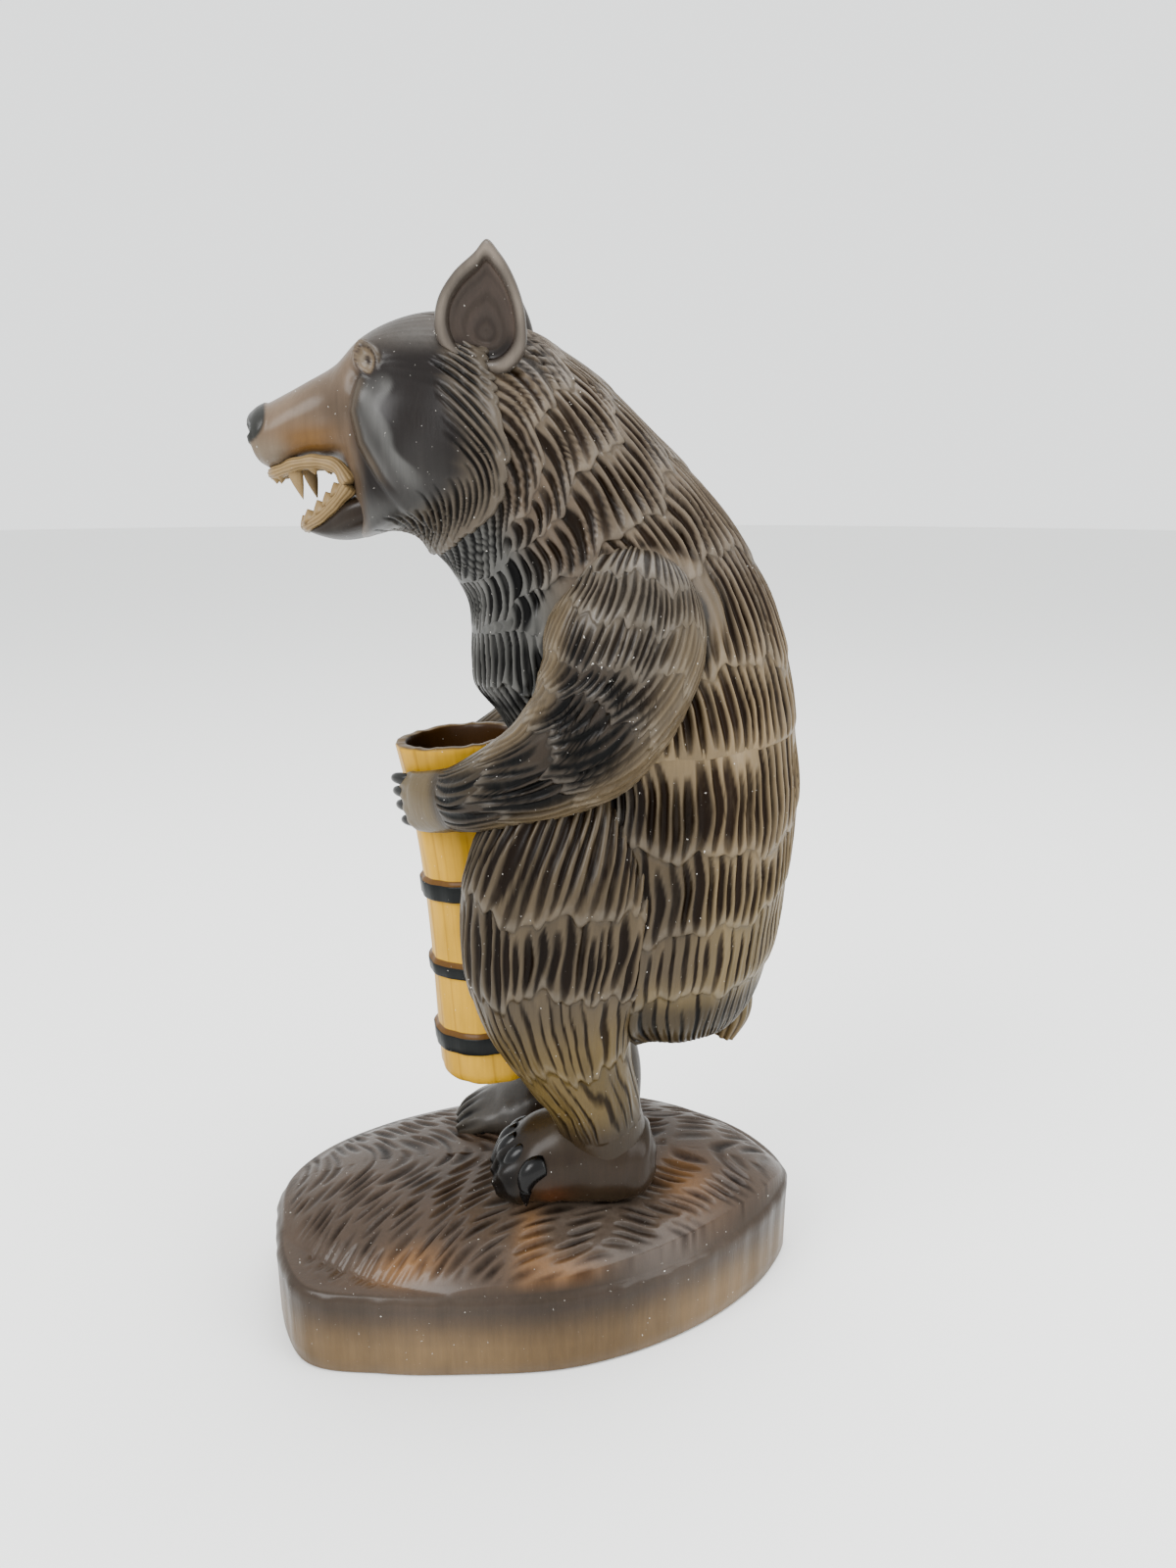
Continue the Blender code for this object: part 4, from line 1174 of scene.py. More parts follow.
def face_stains(points, marks):
    """Dark cheek, painted grey sheen behind the muzzle, tan bridge, orange patch, charcoal nose, with painted
    shade beneath the muzzle, round the eyeball and in the nostrils, and a painted highlight on the brow.
    """
    y, z = points[..., 1], points[..., 2]
    flank = from_middle(points, 7, 10)
    fold = beside_line(y, z, FOLD)
    muzzle = slope(fold, 1.5, -2.5) * slope(y, -38.0, -44.0)
    # Painted sheen: a grey reflection laid on the cheek behind the muzzle's fold
    sheen = slope(fold, 1.6, 2.6) * slope(fold + 0.8 * np.sin(0.6 * z), 9.4, 7.8)
    sheen = sheen * slope(z, 242, 236) * slope(z, 208, 220) * (0.75 + 0.25 * np.sin(0.9 * y + 0.5 * z))
    strip = bell(fold, 0.8, 1.0) * slope(z, 244, 236) * slope(z, 212, 220)
    f, u, share = eye_place(points)
    brow_highlight = bell(share, 1.4, 0.3) * slope(u - 0.6 * f, -3.0, 1.5)
    pupil = np.hypot((f + 0.5) / 0.7, (u + 0.2) / 1.2)
    return stained(
        points, "cheek",
        ("crown", slope(z, 244, 252)),
        ("grey", 0.22 * spot(points, -24.0, 216.0, 9.0, 8.0)),
        ("grey", 0.5 * slope(z, 214, 206) * slope(y, -10, -24)),
        ("grey", 0.35 * spot(points, -27.0, 251.0, 7.0, 3.0)),
        ("ruff", 0.85 * marks["ruff"]),
        ("tan", muzzle),
        ("cheek", 0.4 * muzzle * spot(points, -47.0, 232.0, 6.0, 8.0)),
        ("orange", muzzle * spot(points, -54.5, 224.5, 8.0, 4.5)),
        ("lip", muzzle * 0.8 * slope(y, -58, -64) * slope(z, 228, 223)),
        # Painted shade beneath the muzzle
        ("under_shade", muzzle * slope(z, 219.0, 217.0) * 0.3),
        # Painted sheen behind the muzzle
        ("grey", 0.85 * sheen * flank),
        ("lip", 0.45 * strip * flank),
        ("nose", nose_pad(y, z)),
        # Painted highlight on the brow's arch
        ("lip", 0.55 * brow_highlight * flank),
        ("eye", slope(share, 1.15, 0.9) * flank),
        # Painted shade in the crease round the eyeball
        ("pupil", 0.75 * bell(share, 1.12, 0.12) * flank),
        ("lip", slope(np.hypot(f - 0.4, u / 1.3), 1.4, 1.1) * flank),
        ("pupil", slope(pupil, 1.25, 0.8) * flank),
        # Painted shade in the nostril holes
        ("claw", 0.8 * nostril(points)),
    )


def head():
    """The head with its ruff, whose cuts run forward from the ruff's edge.

    Point = body surface + normal * (swell at the edge - section * lens of the cuts + the
    face's pushes). The count of cuts passed grows with the turn and leans with the distance.
    """
    turn = turns(HEAD_COLUMNS)
    edge = by_turn(RUFF_EDGE, turn)
    reach = by_turn(RUFF_REACH, turn)
    shares = np.concatenate([
        [0.0, 0.004, 0.012], np.linspace(0.024, 0.46, 54), np.linspace(0.467, 1.0, 94)[:-1],
    ])
    count = int(round(RUFF_GIRTH / RUFF_PITCH))

    def passed(along):
        uneven = 0.3 * np.sin(3 * turn + 1.0) + 0.2 * np.sin(8 * turn)
        back = along - 190.0
        lean = (0.75 * back - 0.006 * back**2) / RUFF_PITCH * np.sign(np.sin(turn))
        return turn / (2 * pi) * count + uneven + lean

    x = passed(edge)
    ridge = np.round(x)
    hang = 1.3 * (0.2 + dice(ridge % count, 1.0, 5.0)) * (1 - (2 * (x - ridge)) ** 2)
    low = edge - hang + 0.6 + 0.9 * np.sin(9 * turn)
    along = low + (BODY_KNOTS[-1] - low) * shares[:, None]
    marks = plain_rings(shares, HEAD_COLUMNS)
    marks["along"] = along
    groove, t = parted(passed(along), count, 0.0, 21.0)
    index = groove % count
    from_edge = along - low
    length = reach * (0.75 + 0.45 * dice(index, 2.0, 7.0))
    start = 0.5 + 2.0 * dice(index, 3.0, 9.0) + (index % 2) * 0.35 * length * 0.3
    lens = np.sin(pi * np.clip((from_edge - start) / length, 0, 1)) ** 0.6 * (length > 3)
    section = np.clip(1 - (t / (0.80 * (0.45 + 0.55 * lens))) ** 2, 0, 1)
    over_top = slope(degrees_from_back(turn), 20, 40)
    step = 1.5 * np.exp(-from_edge / 7.0) * np.minimum(1, 0.4 + from_edge / 0.8)
    base = body_surface(along, marks["turn"])
    root = beside_line(base[..., 1], base[..., 2], EAR_ROOT)
    marks["lift"] = step - 0.8 * lens * section * (0.4 + 0.6 * over_top) + face_lift(base)
    marks["cut"] = section * lens
    marks["lip"] = np.exp(-from_edge / 1.2) * 0.7
    marks["ruff"] = slope(from_edge, reach * 1.25, reach * 0.7)
    marks["dust"] = 0.5 * bell(root, 0.0, 1.3) + 0.3 * spot(base, -20.0, 251.0, 4.0, 2.5)
    inmost, behind = tucked(HEAD_COLUMNS, edge + 3.0, 4.0), tucked(HEAD_COLUMNS, low, 0.5)
    # Painted shade in the crease behind the ruff's edge
    behind["shade"] = behind["shade"] + 1.0
    for ring in (inmost, behind):
        ring["ruff"] = np.ones(ring["lift"].shape)
        ring["dust"] = np.zeros(ring["lift"].shape)
    marks = stacked(inmost, behind, marks)
    points = lifted(body_surface, marks)
    make_piece("head", points, face_stains(points, marks), marks, FACE, poles=HEAD_POLES)


def jaw():
    """Lower jaw: point = middle + half height * cos(turn) flat on top + X * width * sin(turn)."""
    knots = run_of(JAW_SECTIONS[:, 0:2])
    marks = plain_rings(knots[-1] * np.linspace(0, 1, 60) ** 0.8, 160)
    rows = smooth_read(knots, JAW_SECTIONS, marks["along"])
    wave = flattened(np.cos(marks["turn"]), 0.5)
    y = (rows[..., 0] + rows[..., 2]) / 2 + wave * (rows[..., 2] - rows[..., 0]) / 2
    z = (rows[..., 1] + rows[..., 3]) / 2 + wave * (rows[..., 3] - rows[..., 1]) / 2
    points = np.stack([rows[..., 4] * np.sin(marks["turn"]), y, z], axis=-1)
    stains = stained(
        points, "cheek",
        ("foot", np.full(y.shape, 0.6)),
        ("grey", 0.1 * slope(y, -40, -52)),
        ("lip", slope(np.cos(marks["turn"]), -0.55, -0.85) * 0.8),
    )
    make_piece("lower_jaw", points, stains, marks, FACE)


def gums():
    """Each gum is a tube along the lip with fine grooves along it, a twelfth of a turn apart."""
    for name, rows in (("upper_gum", UPPER_GUM), ("lower_gum", LOWER_GUM)):
        right = [(-x, y, z, depth, width) for x, y, z, depth, width in reversed(rows)]
        surface, knots = limb_surface(list(rows) + right, (0.0, 0.0, 1.0))
        marks = plain_rings(np.linspace(0, knots[-1], 150), 48)
        grooves = np.cos(12 * marks["turn"])
        marks["lift"] = 0.10 * grooves + 0.14 * np.sin(marks["along"] * 1.1)
        marks["cut"] = 0.45 * slope(grooves, -0.2, -1.0)
        points = lifted(surface, marks)
        make_piece(name, points, stained(points, "gum"), marks, GUMS)


def teeth():
    """A tooth tapers from its root: radius * (1 - v)^0.8 * (1 + 0.3 sin(pi v)), narrower across."""
    share = np.linspace(0, 0.995, 16)[:, None]
    turn = turns(20)[None, :]
    for side, label in SIDES:
        for number, (root, point, radius) in enumerate(TEETH):
            root, point = np.array(root, dtype=float), np.array(point, dtype=float)
            over_it = unit(np.cross(unit(point - root), X_AXIS))
            wide = radius * (1 - share) ** 0.8 * (1 + 0.3 * np.sin(pi * share))
            points = root + (point - root) * share[..., None]
            points = points + (wide * np.cos(turn))[..., None] * over_it
            points = mirrored(points + (0.8 * wide * np.sin(turn))[..., None] * X_AXIS, side)
            marks = {"cut": 0.7 * slope(share, 0.35, 0.0) * np.ones(turn.shape)}
            make_piece(
                "%s_tooth_%d" % (label, number), points, stained(points, "gum"), marks, GUMS,
                poles=mirrored(np.array([root, point]), side),
            )


# Limbs


def barrel_axis():
    """The rim's middle, the way down to the foot and the way forward, in drawn millimetres."""
    down = np.array([0.0, sin(BARREL_LEAN), -cos(BARREL_LEAN)])
    forward = np.array([0.0, -cos(BARREL_LEAN), -sin(BARREL_LEAN)])
    return np.array(BARREL_SEAT) + forward * BARREL_MOUTH_RADIUS, down, forward


def barrel_radius(share):
    """Outer radius at a share of the height, drawn in at the waist below the mouth."""
    straight = BARREL_FOOT_RADIUS + (BARREL_MOUTH_RADIUS - BARREL_FOOT_RADIUS) * share
    return straight - BARREL_WAIST * np.sin(pi * np.clip(share, 0, 1) ** 1.4)


def beside_barrel(degrees, height, gap):
    """A point by the barrel's side: turned from its front, at a height, out by a gap."""
    rim, down, _ = barrel_axis()
    below = (rim[2] - height) / -down[2]
    share = min(max(1 - below / BARREL_HEIGHT, 0.0), 1.0)
    out = barrel_radius(share) + gap
    turn = radians(degrees)
    return out * sin(turn), rim[1] + down[1] * below - out * cos(turn), height


def arm_rows():
    """The arm's sections and the paw's, which press on the barrel."""
    paw = [
        (*beside_barrel(degrees, height, width - PAW_PRESS), depth, width)
        for degrees, height, depth, width in PAW_SECTIONS
    ]
    return list(ARM_SECTIONS) + paw


def carved_limb(name, sections, ends, plain, side, stains_of, finish, joined=None, **carving):
    """A limb with rows of cuts between its row ends, and plain rings below the lowest.

    The row ends are distances down from its top.
    """
    surface, knots = limb_surface(sections)
    total = knots[-1]
    edges = [np.full(LIMB_COLUMNS, total - end) for end in ends]

    def girth(from_low):
        return girth_of(surface, total - from_low, 91)

    rows = carved_rows(edges, LIMB_COLUMNS, girth, **carving)
    low = total - ends[0]
    smooth = plain_rings(np.concatenate([[0.0], low * np.linspace(0.02, 1, plain)[:-1]]), LIMB_COLUMNS)
    marks = stacked(smooth, tucked(LIMB_COLUMNS, rows["along"][0] - 0.4, 0.03), rows)
    marks["along"] = total - marks["along"]
    finish(marks)
    points = lifted(surface, marks)
    if joined is not None:
        points = blended(points, joined, slope(np.sin(marks["turn"]), 0.0, 0.3))
    poles = mirrored(end_middles(surface, marks), side)
    make_piece(name, mirrored(points, side), stains_of(points, marks), marks, FUR, poles=poles)


def arm_finish(marks):
    """Shallow lines on the front and back edges, deeper cuts on the outer face, and fingers."""
    along, upward = marks["along"], np.cos(marks["turn"])
    edge = np.maximum(slope(upward, 0.30, 0.75), slope(-upward, 0.60, 0.90))
    edge = edge * slope(along, 92, 76) * slope(along, 8, 24)
    caught = bell(along - 8.0 * upward, 33, 6.0) * slope(np.sin(marks["turn"]), 0.4, 0.9)
    split = np.sin(pi * PAW_SECTIONS[1][2] * upward / FINGER_PITCH) ** 2
    fingers = slope(along, 104, 112)
    marks["lift"] = marks["lift"] * (1 - 0.6 * edge) + fingers * (0.8 * split - 0.4)
    marks["cut"] = marks["cut"] * (1 - 0.6 * edge) + 0.7 * fingers * (1 - split) ** 3
    marks["edge"] = edge
    marks["dust"] = caught * (0.15 + 0.35 * marks["lip"])


def arm_stains(points, marks):
    """Grey cap, near-black middle, pale edges and a pale paw, with painted shade on the underside of the
    forearm.
    """
    along, upward = marks["along"], np.cos(marks["turn"])
    return stained(
        points, "cap",
        ("arm", slope(along - 13.0 * upward, 26, 38)),
        ("edge", 0.9 * marks["edge"]),
        # Painted shade on the underside of the forearm
        ("under_shade", 0.5 * slope(upward, 0.1, -0.4) * slope(along, 60, 80) * slope(along, 98, 88)),
        ("paw", slope(along, 92, 97)),
    )


def claw(name, path, radius, side, tone="claw"):
    """A claw round a curve of three points: radius * (1 - v)^0.6 * (1 + 0.3 sin(pi v))."""
    a, b, c = (np.array(place, dtype=float) for place in path)
    share = np.linspace(0, 0.99, 22)[:, None, None]
    turn = turns(24)[None, :, None]
    middle = (1 - share) ** 2 * a + 2 * share * (1 - share) * b + share**2 * c
    way = unit(2 * (1 - share) * (b - a) + 2 * share * (c - b))
    across = unit(np.cross(way, np.array([0.0, 0.0, 1.0]) + 0.3 * unit(a - c)))
    wide = radius * (1 - share) ** 0.6 * (1 + 0.3 * np.sin(pi * share))
    points = middle + across * wide * np.cos(turn) * 0.85 + np.cross(across, way) * wide * np.sin(turn)
    # Painted shade at the claw's root, where it meets the paw or foot
    marks = {"shade": 0.6 * slope(share[..., 0], 0.25, 0.0) * np.ones((1, 24))}
    poles = mirrored(np.array([a, c]), side)
    make_piece(name, mirrored(points, side), stained(points, tone), marks, BLACK, poles=poles)


def arms():
    """Both arms, the right mirrored but cut by its own seed, and the claws of the paws."""
    for (side, label), seed in zip(SIDES, (4.0, 15.0)):
        carved_limb(
            label + "_arm", arm_rows(), (91.0, 76.0, 57.0, 40.0, 30.0, 20.0, 10.5, 1.0), 30, side,
            arm_stains, arm_finish,
            pitch=(2.3, 2.3, 2.6, 2.3, 1.9, 1.8, 1.8), depth=(0.7, 1.0, 1.3, 1.1, 0.7, 0.6, 0.45),
            width=(0.80, 0.92, 0.98, 0.92, 0.86, 0.84, 0.80), seed=seed,
            step=(0.1, 0.6, 0.8, 0.8, 0.5, 0.4, 0.3), slant=(0.1, 0.2, 0.45, 0.5, 0.25, 0.15, 0.1),
            tongue=(1.0, 1.0, 1.2, 1.2, 0.9, 0.8, 0.6), curl=(0.3, 0.5, 0.5, 0.3, 0.1, 0.1, 0.0), web=1.2,
        )
        for number, (fingers_up, root_turn, point_turn) in enumerate(PAW_CLAWS):
            height = PAW_MIDDLE + fingers_up * FINGER_PITCH
            root = beside_barrel(root_turn + 4, height, 2.4)
            knee = beside_barrel((root_turn + point_turn) / 2, height + 0.3, 5.0)
            point = beside_barrel(point_turn, height - 1.2, 3.2)
            claw("%s_paw_claw_%d" % (label, number), (root, knee, point), 1.7, side, "paw claw")


def leg_finish(marks):
    """A little dust on the rows' lips."""
    marks["dust"] = 0.1 * marks["lip"]


def leg_stains(points, marks):
    """Dark grey-brown thigh, golden lower thigh and a greyer shank, with painted shade on the inner side."""
    along, y, z = marks["along"], points[..., 1], points[..., 2]
    return stained(
        points, "thigh",
        ("thigh low", slope(along, 56, 78)),
        ("shank", slope(along, 90, 106)),
        ("flank", 0.4 * slope(y, 20, 38) * slope(z, 84, 100)),
        ("foot", 0.85 * slope(z, 48, 34)),
        # Painted shade on the leg's inner side
        ("under_shade", 0.6 * slope(np.sin(marks["turn"]), -0.1, -0.6)),
    )


def legs():
    """Both legs, the right mirrored but cut by its own seed, each flowing into the trunk."""
    for (side, label), seed in zip(SIDES, (6.0, 17.0)):
        carved_limb(
            label + "_leg", LEG_SECTIONS, (106.0, 80.0, 57.0, 35.0, 2.0), 16, side,
            leg_stains, leg_finish, side_of_trunk,
            pitch=(3.6, 3.0, 2.9, 2.8), depth=(0.4, 0.6, 1.3, 1.35), width=(0.40, 0.46, 0.90, 0.94),
            seed=seed, step=(0.08, 0.6, 0.8, 0.7), crown=(0.35, 0.3, 0.1, 0.0),
            slant=(-0.1, 0.0, 0.05, 0.1), tongue=(1.5, 1.2, 0.9, 0.9), curl=(0.2, 0.15, 0.3, 0.4), web=2.6,
        )


def mound_height(x, y):
    """Height of the ground over the rim: a low dome, one minus the fourth power of the reach,
    fuller behind the bear, there most of all on its right.
    """
    along = y / (PLINTH_LENGTH / 2)
    across = x / (PLINTH_WIDTH / 2)
    reach = np.hypot(across, along)
    fuller = 1 + MOUND_FULLER_BEHIND * along - MOUND_TWIST * across * along
    return MOUND_RISE * fuller * np.clip(1 - reach**4, 0, 1)


def foot_stains(name, points):
    """The left foot is brown with black toes and a reddish patch, the right one's toes are grey; both have
    painted shade low down.
    """
    y, z = points[..., 1], points[..., 2]
    own = {
        "left_foot": (
            ("shank", 0.6 * slope(z, 30, 44)), ("claw", 0.8 * slope(y, 1, -5)),
            ("reddish", 0.6 * spot(points, 7.0, 17.0, 5.0, 5.0)),
        ),
        "right_foot": (("grey", 0.45 * slope(y, 2, -8)),),
    }
    # Painted shade low on the foot by the ground
    return stained(points, "foot", *own[name], ("under_shade", slope(z, 20, 12) * 0.6))


def foot_claws(name):
    """Claws side by side round the toes, the outer ones set back and turned out."""
    (x, y, over_ground), wide, radius, forward, down = FOOT_CLAWS[name]
    z = mound_height(x, y) + over_ground
    for number in range(CLAWS_ON_A_FOOT):
        spread = 2 * number / (CLAWS_ON_A_FOOT - 1) - 1
        root = (x + wide * 0.85 * spread, y + 1 + 0.55 * wide * spread**2, z - 2 * spread**2)
        knee = (root[0] + 2.5 * spread, root[1] - forward, z - 0.2 * down)
        point = (root[0] + 2.5 * spread, root[1] - 0.75 * forward, z - 1.05 * down)
        claw("%s_claw_%d" % (name, number), (root, knee, point), radius, 1.0)


def feet():
    """Feet round a bent path over the ground, whose toes swell by cos(2.5 pi sin(turn))^2."""
    for name, sections in (("left_foot", LEFT_FOOT), ("right_foot", RIGHT_FOOT)):
        surface, knots = limb_surface([(x, y, mound_height(x, y) + h, d, w) for x, y, h, d, w in sections])
        marks = plain_rings(np.linspace(0, knots[-1], 70), 120)
        along, turn = marks["along"], marks["turn"]
        toes = slope(along, knots[-1] - 13, knots[-1] - 4) * slope(-np.cos(turn), 0.0, 0.6)
        split = np.cos(np.sin(turn) * 2.5 * pi) ** 2
        ripple = 0.12 * np.sin(5 * turn + 0.5 * along) + 0.1 * np.sin(0.8 * along)
        marks["lift"] = ripple + toes * (0.9 * split - 0.5)
        marks["cut"] = toes * (1 - split)
        points = lifted(surface, marks)
        poles = end_middles(surface, marks)
        make_piece(name, points, foot_stains(name, points), marks, FACE, poles=poles)
        foot_claws(name)


def tail():
    """A short limb with ribs along it: cos(11 turn + 0.12 along)."""
    surface, knots = limb_surface(TAIL_SECTIONS)
    marks = plain_rings(np.linspace(0, knots[-1], 40), 96)
    ribs = np.cos(11 * marks["turn"] + 0.12 * marks["along"])
    marks["lift"] = 0.25 * ribs
    marks["cut"] = slope(ribs, -0.3, -0.95) * 0.7
    points = lifted(surface, marks)
    stains = stained(points, "rump", ("side low", 0.4 * slope(points[..., 2], 64, 56)))
    make_piece("tail", points, stains, marks, FUR)


def closed_outline(points, columns):
    """A smooth closed curve through the points, read at evenly spaced places."""
    points = np.array(points, dtype=float)
    around = np.vstack([points[-2:], points, points[:3]])
    knots = run_of(around)
    start = knots[2]
    run = knots[2 + len(points)] - start
    return smooth_read(knots, around, start + run * np.arange(columns) / columns)


def ears():
    """A leaf with a dished outer face: rings shrink from the outline into the hollow.

    Point = middle + outline * share, set out by depth * thickness and by the ear's spread and
    turn. The hollow's rings drift down towards its middle.
    """
    outline = closed_outline(EAR_OUTLINE, EAR_COLUMNS)
    hollow = 0.5 - EAR_DISH / EAR_THICKNESS
    shells = np.array((
        (0.05, -0.62), (0.2, -0.6), (0.5, -0.58), (0.75, -0.5), (0.93, -0.3), (1.0, -0.05), (1.0, 0.25),
        (0.95, 0.45), (0.87, 0.5), (0.80, 0.42), (0.74, 0.2), (0.68, hollow * 0.4), (0.55, hollow * 0.9),
        (0.35, hollow), (0.15, hollow - 0.05), (0.03, hollow - 0.05),
    ))
    knots = run_of(shells)
    fine = smooth_read(knots, shells, np.linspace(0, knots[-1], 80))
    share, depth = fine[:, 0:1], fine[:, 1:2]
    inner = np.arange(len(fine))[:, None] > 40
    lines = np.sin(share * 26.0 + 1.5 * outline[:, 1] / 16) * slope(share, 0.7, 0.6) * inner
    forward = outline[:, 0] * share
    up = outline[:, 1] * share - EAR_DRIFT * slope(share, 0.7, 0.1) * inner
    out = depth * EAR_THICKNESS + 0.05 * lines + EAR_SPREAD * up - EAR_TURN * forward
    points = np.stack([out, -forward, up], axis=-1) + np.array(EAR_MIDDLE)
    crest = bell(share, 0.88, 0.09) * (depth > 0.1)
    crescent = slope(share, 0.45, 0.6) * slope(share, 0.76, 0.70) * slope(up, -3, -8) * inner
    stains = stained(
        points, "crown",
        ("ear", crest * (0.75 + 0.25 * np.sin(0.5 * up + 1.0))),
        ("ear hollow", slope(share, 0.76, 0.68) * inner),
        ("cheek", 0.9 * crescent),
        ("cheek", 0.6 * slope(depth, 0.0, -0.3)),
    )
    marks = {
        "cut": 0.22 * slope(lines, 0.2, -0.8) * inner * slope(share, 0.7, 0.6),
        "dust": 0.2 * slope(up, -9, -13),
    }
    for side, label in SIDES:
        make_piece(label + "_ear", mirrored(points, side), stains, marks, FACE)


# Barrel, whose profile is kept in rows of radius, height and kind of surface

STAVE, HOOP, LEDGE, RIM, INSIDE = range(5)


def barrel_profile():
    """The barrel's half section: up the outside from the foot and down the inside."""
    rows = [[0.2, 0.0, STAVE], [6.0, 0.0, STAVE]]
    for turn in np.linspace(-pi / 2, 0, 10):
        out = BARREL_FOOT_RADIUS - BARREL_FOOT_ROUND + BARREL_FOOT_ROUND * cos(turn)
        rows.append([out, BARREL_FOOT_ROUND * (1 + sin(turn)), STAVE])

    def wall(start, end, count, kind=STAVE, inset=0.0):
        share = np.linspace(start, end, count)
        kinds = np.full(count, kind)
        rows.extend(np.column_stack([barrel_radius(share) - inset, share * BARREL_HEIGHT, kinds]))

    low = BARREL_FOOT_ROUND / BARREL_HEIGHT + 0.01
    for share, tall in HOOPS:
        bottom, top = share - tall / 2, share + tall / 2
        wall(low, bottom - 0.001, 12)
        proud = barrel_radius(share) + HOOP_PROUD
        foot, crest = bottom * BARREL_HEIGHT, top * BARREL_HEIGHT
        rows += [
            [barrel_radius(bottom), foot, HOOP], [proud - 0.2, foot, HOOP], [proud, foot + 0.3, HOOP],
            [proud, (foot + crest) / 2, HOOP], [proud, crest - 0.3, HOOP], [proud - 0.2, crest, HOOP],
            [proud - 0.25, crest + 0.02, LEDGE], [barrel_radius(top), crest + 1.2, LEDGE],
        ]
        low = top + 0.014
    wall(low, 0.992, 30)
    mouth = BARREL_MOUTH_RADIUS
    rows += [
        [mouth - 0.4, BARREL_HEIGHT, RIM], [mouth - BARREL_WALL / 2, BARREL_HEIGHT, RIM],
        [mouth - BARREL_WALL + 0.3, BARREL_HEIGHT, RIM], [mouth - BARREL_WALL, BARREL_HEIGHT - 0.5, INSIDE],
    ]
    wall(0.985, 0.06, 40, INSIDE, BARREL_WALL)
    floor_edge = BARREL_FOOT_RADIUS - BARREL_WALL - 1.3
    rows += [[out, BARREL_FLOOR, INSIDE] for out in (floor_edge, 5, 0.2)]
    return np.array(rows)


def barrel():
    """The barrel turned about its leaning axis, its hoops and their ledges cut proud.

    Point = rim middle + down * depth + radius * (X sin a + forward cos a).
    """
    profile = barrel_profile()
    turn = turns(BARREL_COLUMNS)
    radius, height, kind = profile[:, 0:1], profile[:, 1:2], profile[:, 2:3]
    facets = 0.16 * np.cos(9 * turn + 0.6) * slope(radius, 8, 14) + 0.08 * np.sin(17 * turn + height * 0.11)
    ragged = (0.35 * np.sin(6 * turn + 1.0) + 0.2 * np.sin(13 * turn)) * (kind == RIM)
    radius = radius + facets * (kind < RIM) - 0.15
    rim_middle, down, forward = barrel_axis()
    points = rim_middle + down * (BARREL_HEIGHT - height + np.abs(ragged) * 0.8)[..., None]
    points = points + (radius * np.sin(turn))[..., None] * X_AXIS
    points = points + (radius * np.cos(turn))[..., None] * forward
    stains = stained(points, "barrel", *(
        (name, 1.0 * (kind == number))
        for number, name in ((HOOP, "hoop"), (LEDGE, "ledge"), (RIM, "barrel rim"), (INSIDE, "barrel inside"))
    ))
    share = height / BARREL_HEIGHT
    streak = np.sin(23 * turn + 2.0 * np.sin(5 * turn) + 0.8 * share)
    streak = streak + 0.8 * np.sin(41 * turn + 3.0 * np.sin(3 * turn))
    smudge = 0.5 + 0.5 * np.sin(3 * turn + 5 * share)
    marks = {
        "cut": (0.30 * slope(streak, 0.9, 1.7) + 0.18 * smudge) * (kind == STAVE),
        # Painted shade, deeper down inside the barrel
        "shade": 0.5 * slope(share, 0.93, 0.2) * (kind == INSIDE) * np.ones(BARREL_COLUMNS),
    }
    make_piece("barrel_stained", points, stains, marks, OCHRE, ("barrel", "carved_bear"))


# Plinth

# The place round which the ground's strokes run, out to a side and back

STROKES_ROUND = (96.0, 28.0)

# The side's rings: inset from the outline and height over the underside

PLINTH_SIDE = np.array((
    (PLINTH_DRAFT + 0.8, 0.0), (PLINTH_DRAFT, 0.8), (0.35, 5.0), (0.3, 9.0), (0.25, 13.0),
    (0.2, 17.0), (0.1, 20.5), (0.0, RIM_HEIGHT - PLINTH_EDGE), (0.35, RIM_HEIGHT - 1.6),
    (1.0, RIM_HEIGHT - 0.7), (1.7, RIM_HEIGHT - 0.15),
))

# Worn orange patches of the ground: x, y and their reach along each

ORANGE_PATCHES = ((38, 1, 12, 4), (47, 10, 4, 11), (14, 46, 11, 8), (44, -34, 4, 10))

# Painted shadow on the ground round the left foot: x, y and reach

FOOT_SHADE = (21.0, 12.0, 26.0)


def ground_lift(x, y):
    """Short gouge strokes of the ground along circles round a place beside the plinth.

    The distance from that place counts the strokes passed, and the arc, shifted for each
    circle by a fixed random share, breaks them into lengths. A stroke is 1 - (t / width)^2
    across and a half sine along. Both flanks are alike.
    """
    to_side = STROKES_ROUND[0] - np.hypot(x, 9.0)
    forward = y - STROKES_ROUND[1]
    arc = np.arctan2(forward, np.maximum(to_side, 1.0))
    passed = np.hypot(to_side, forward) / GROUND_PITCH
    passed = passed + 0.22 * np.sin(0.16 * y + 0.5) + 0.14 * np.sin(0.31 * y + 0.11 * x)
    groove, t = parted(passed, 97.0, 0.0, 31.0)
    hand = groove + 40 * (x > 0)
    reach = arc * (groove + 0.5) * GROUND_PITCH / 15.0 + 1.7 * dice(hand, 1.0, 2.0)
    row = np.floor(reach)
    start = 0.16 * dice(hand, row, 3.0)
    end = 1 - 0.16 * dice(hand, row, 4.0)
    lens = np.sin(pi * np.clip((reach - row - start) / (end - start), 0, 1)) ** 0.6
    section = np.clip(1 - (t / (0.9 * (0.35 + 0.65 * lens))) ** 2, 0, 1)
    deep = 0.75 * (0.5 + 0.8 * dice(hand, row, 5.0))
    return 0.35 - deep * lens * section, section * lens * (0.45 + 0.4 * dice(hand, row, 6.0))


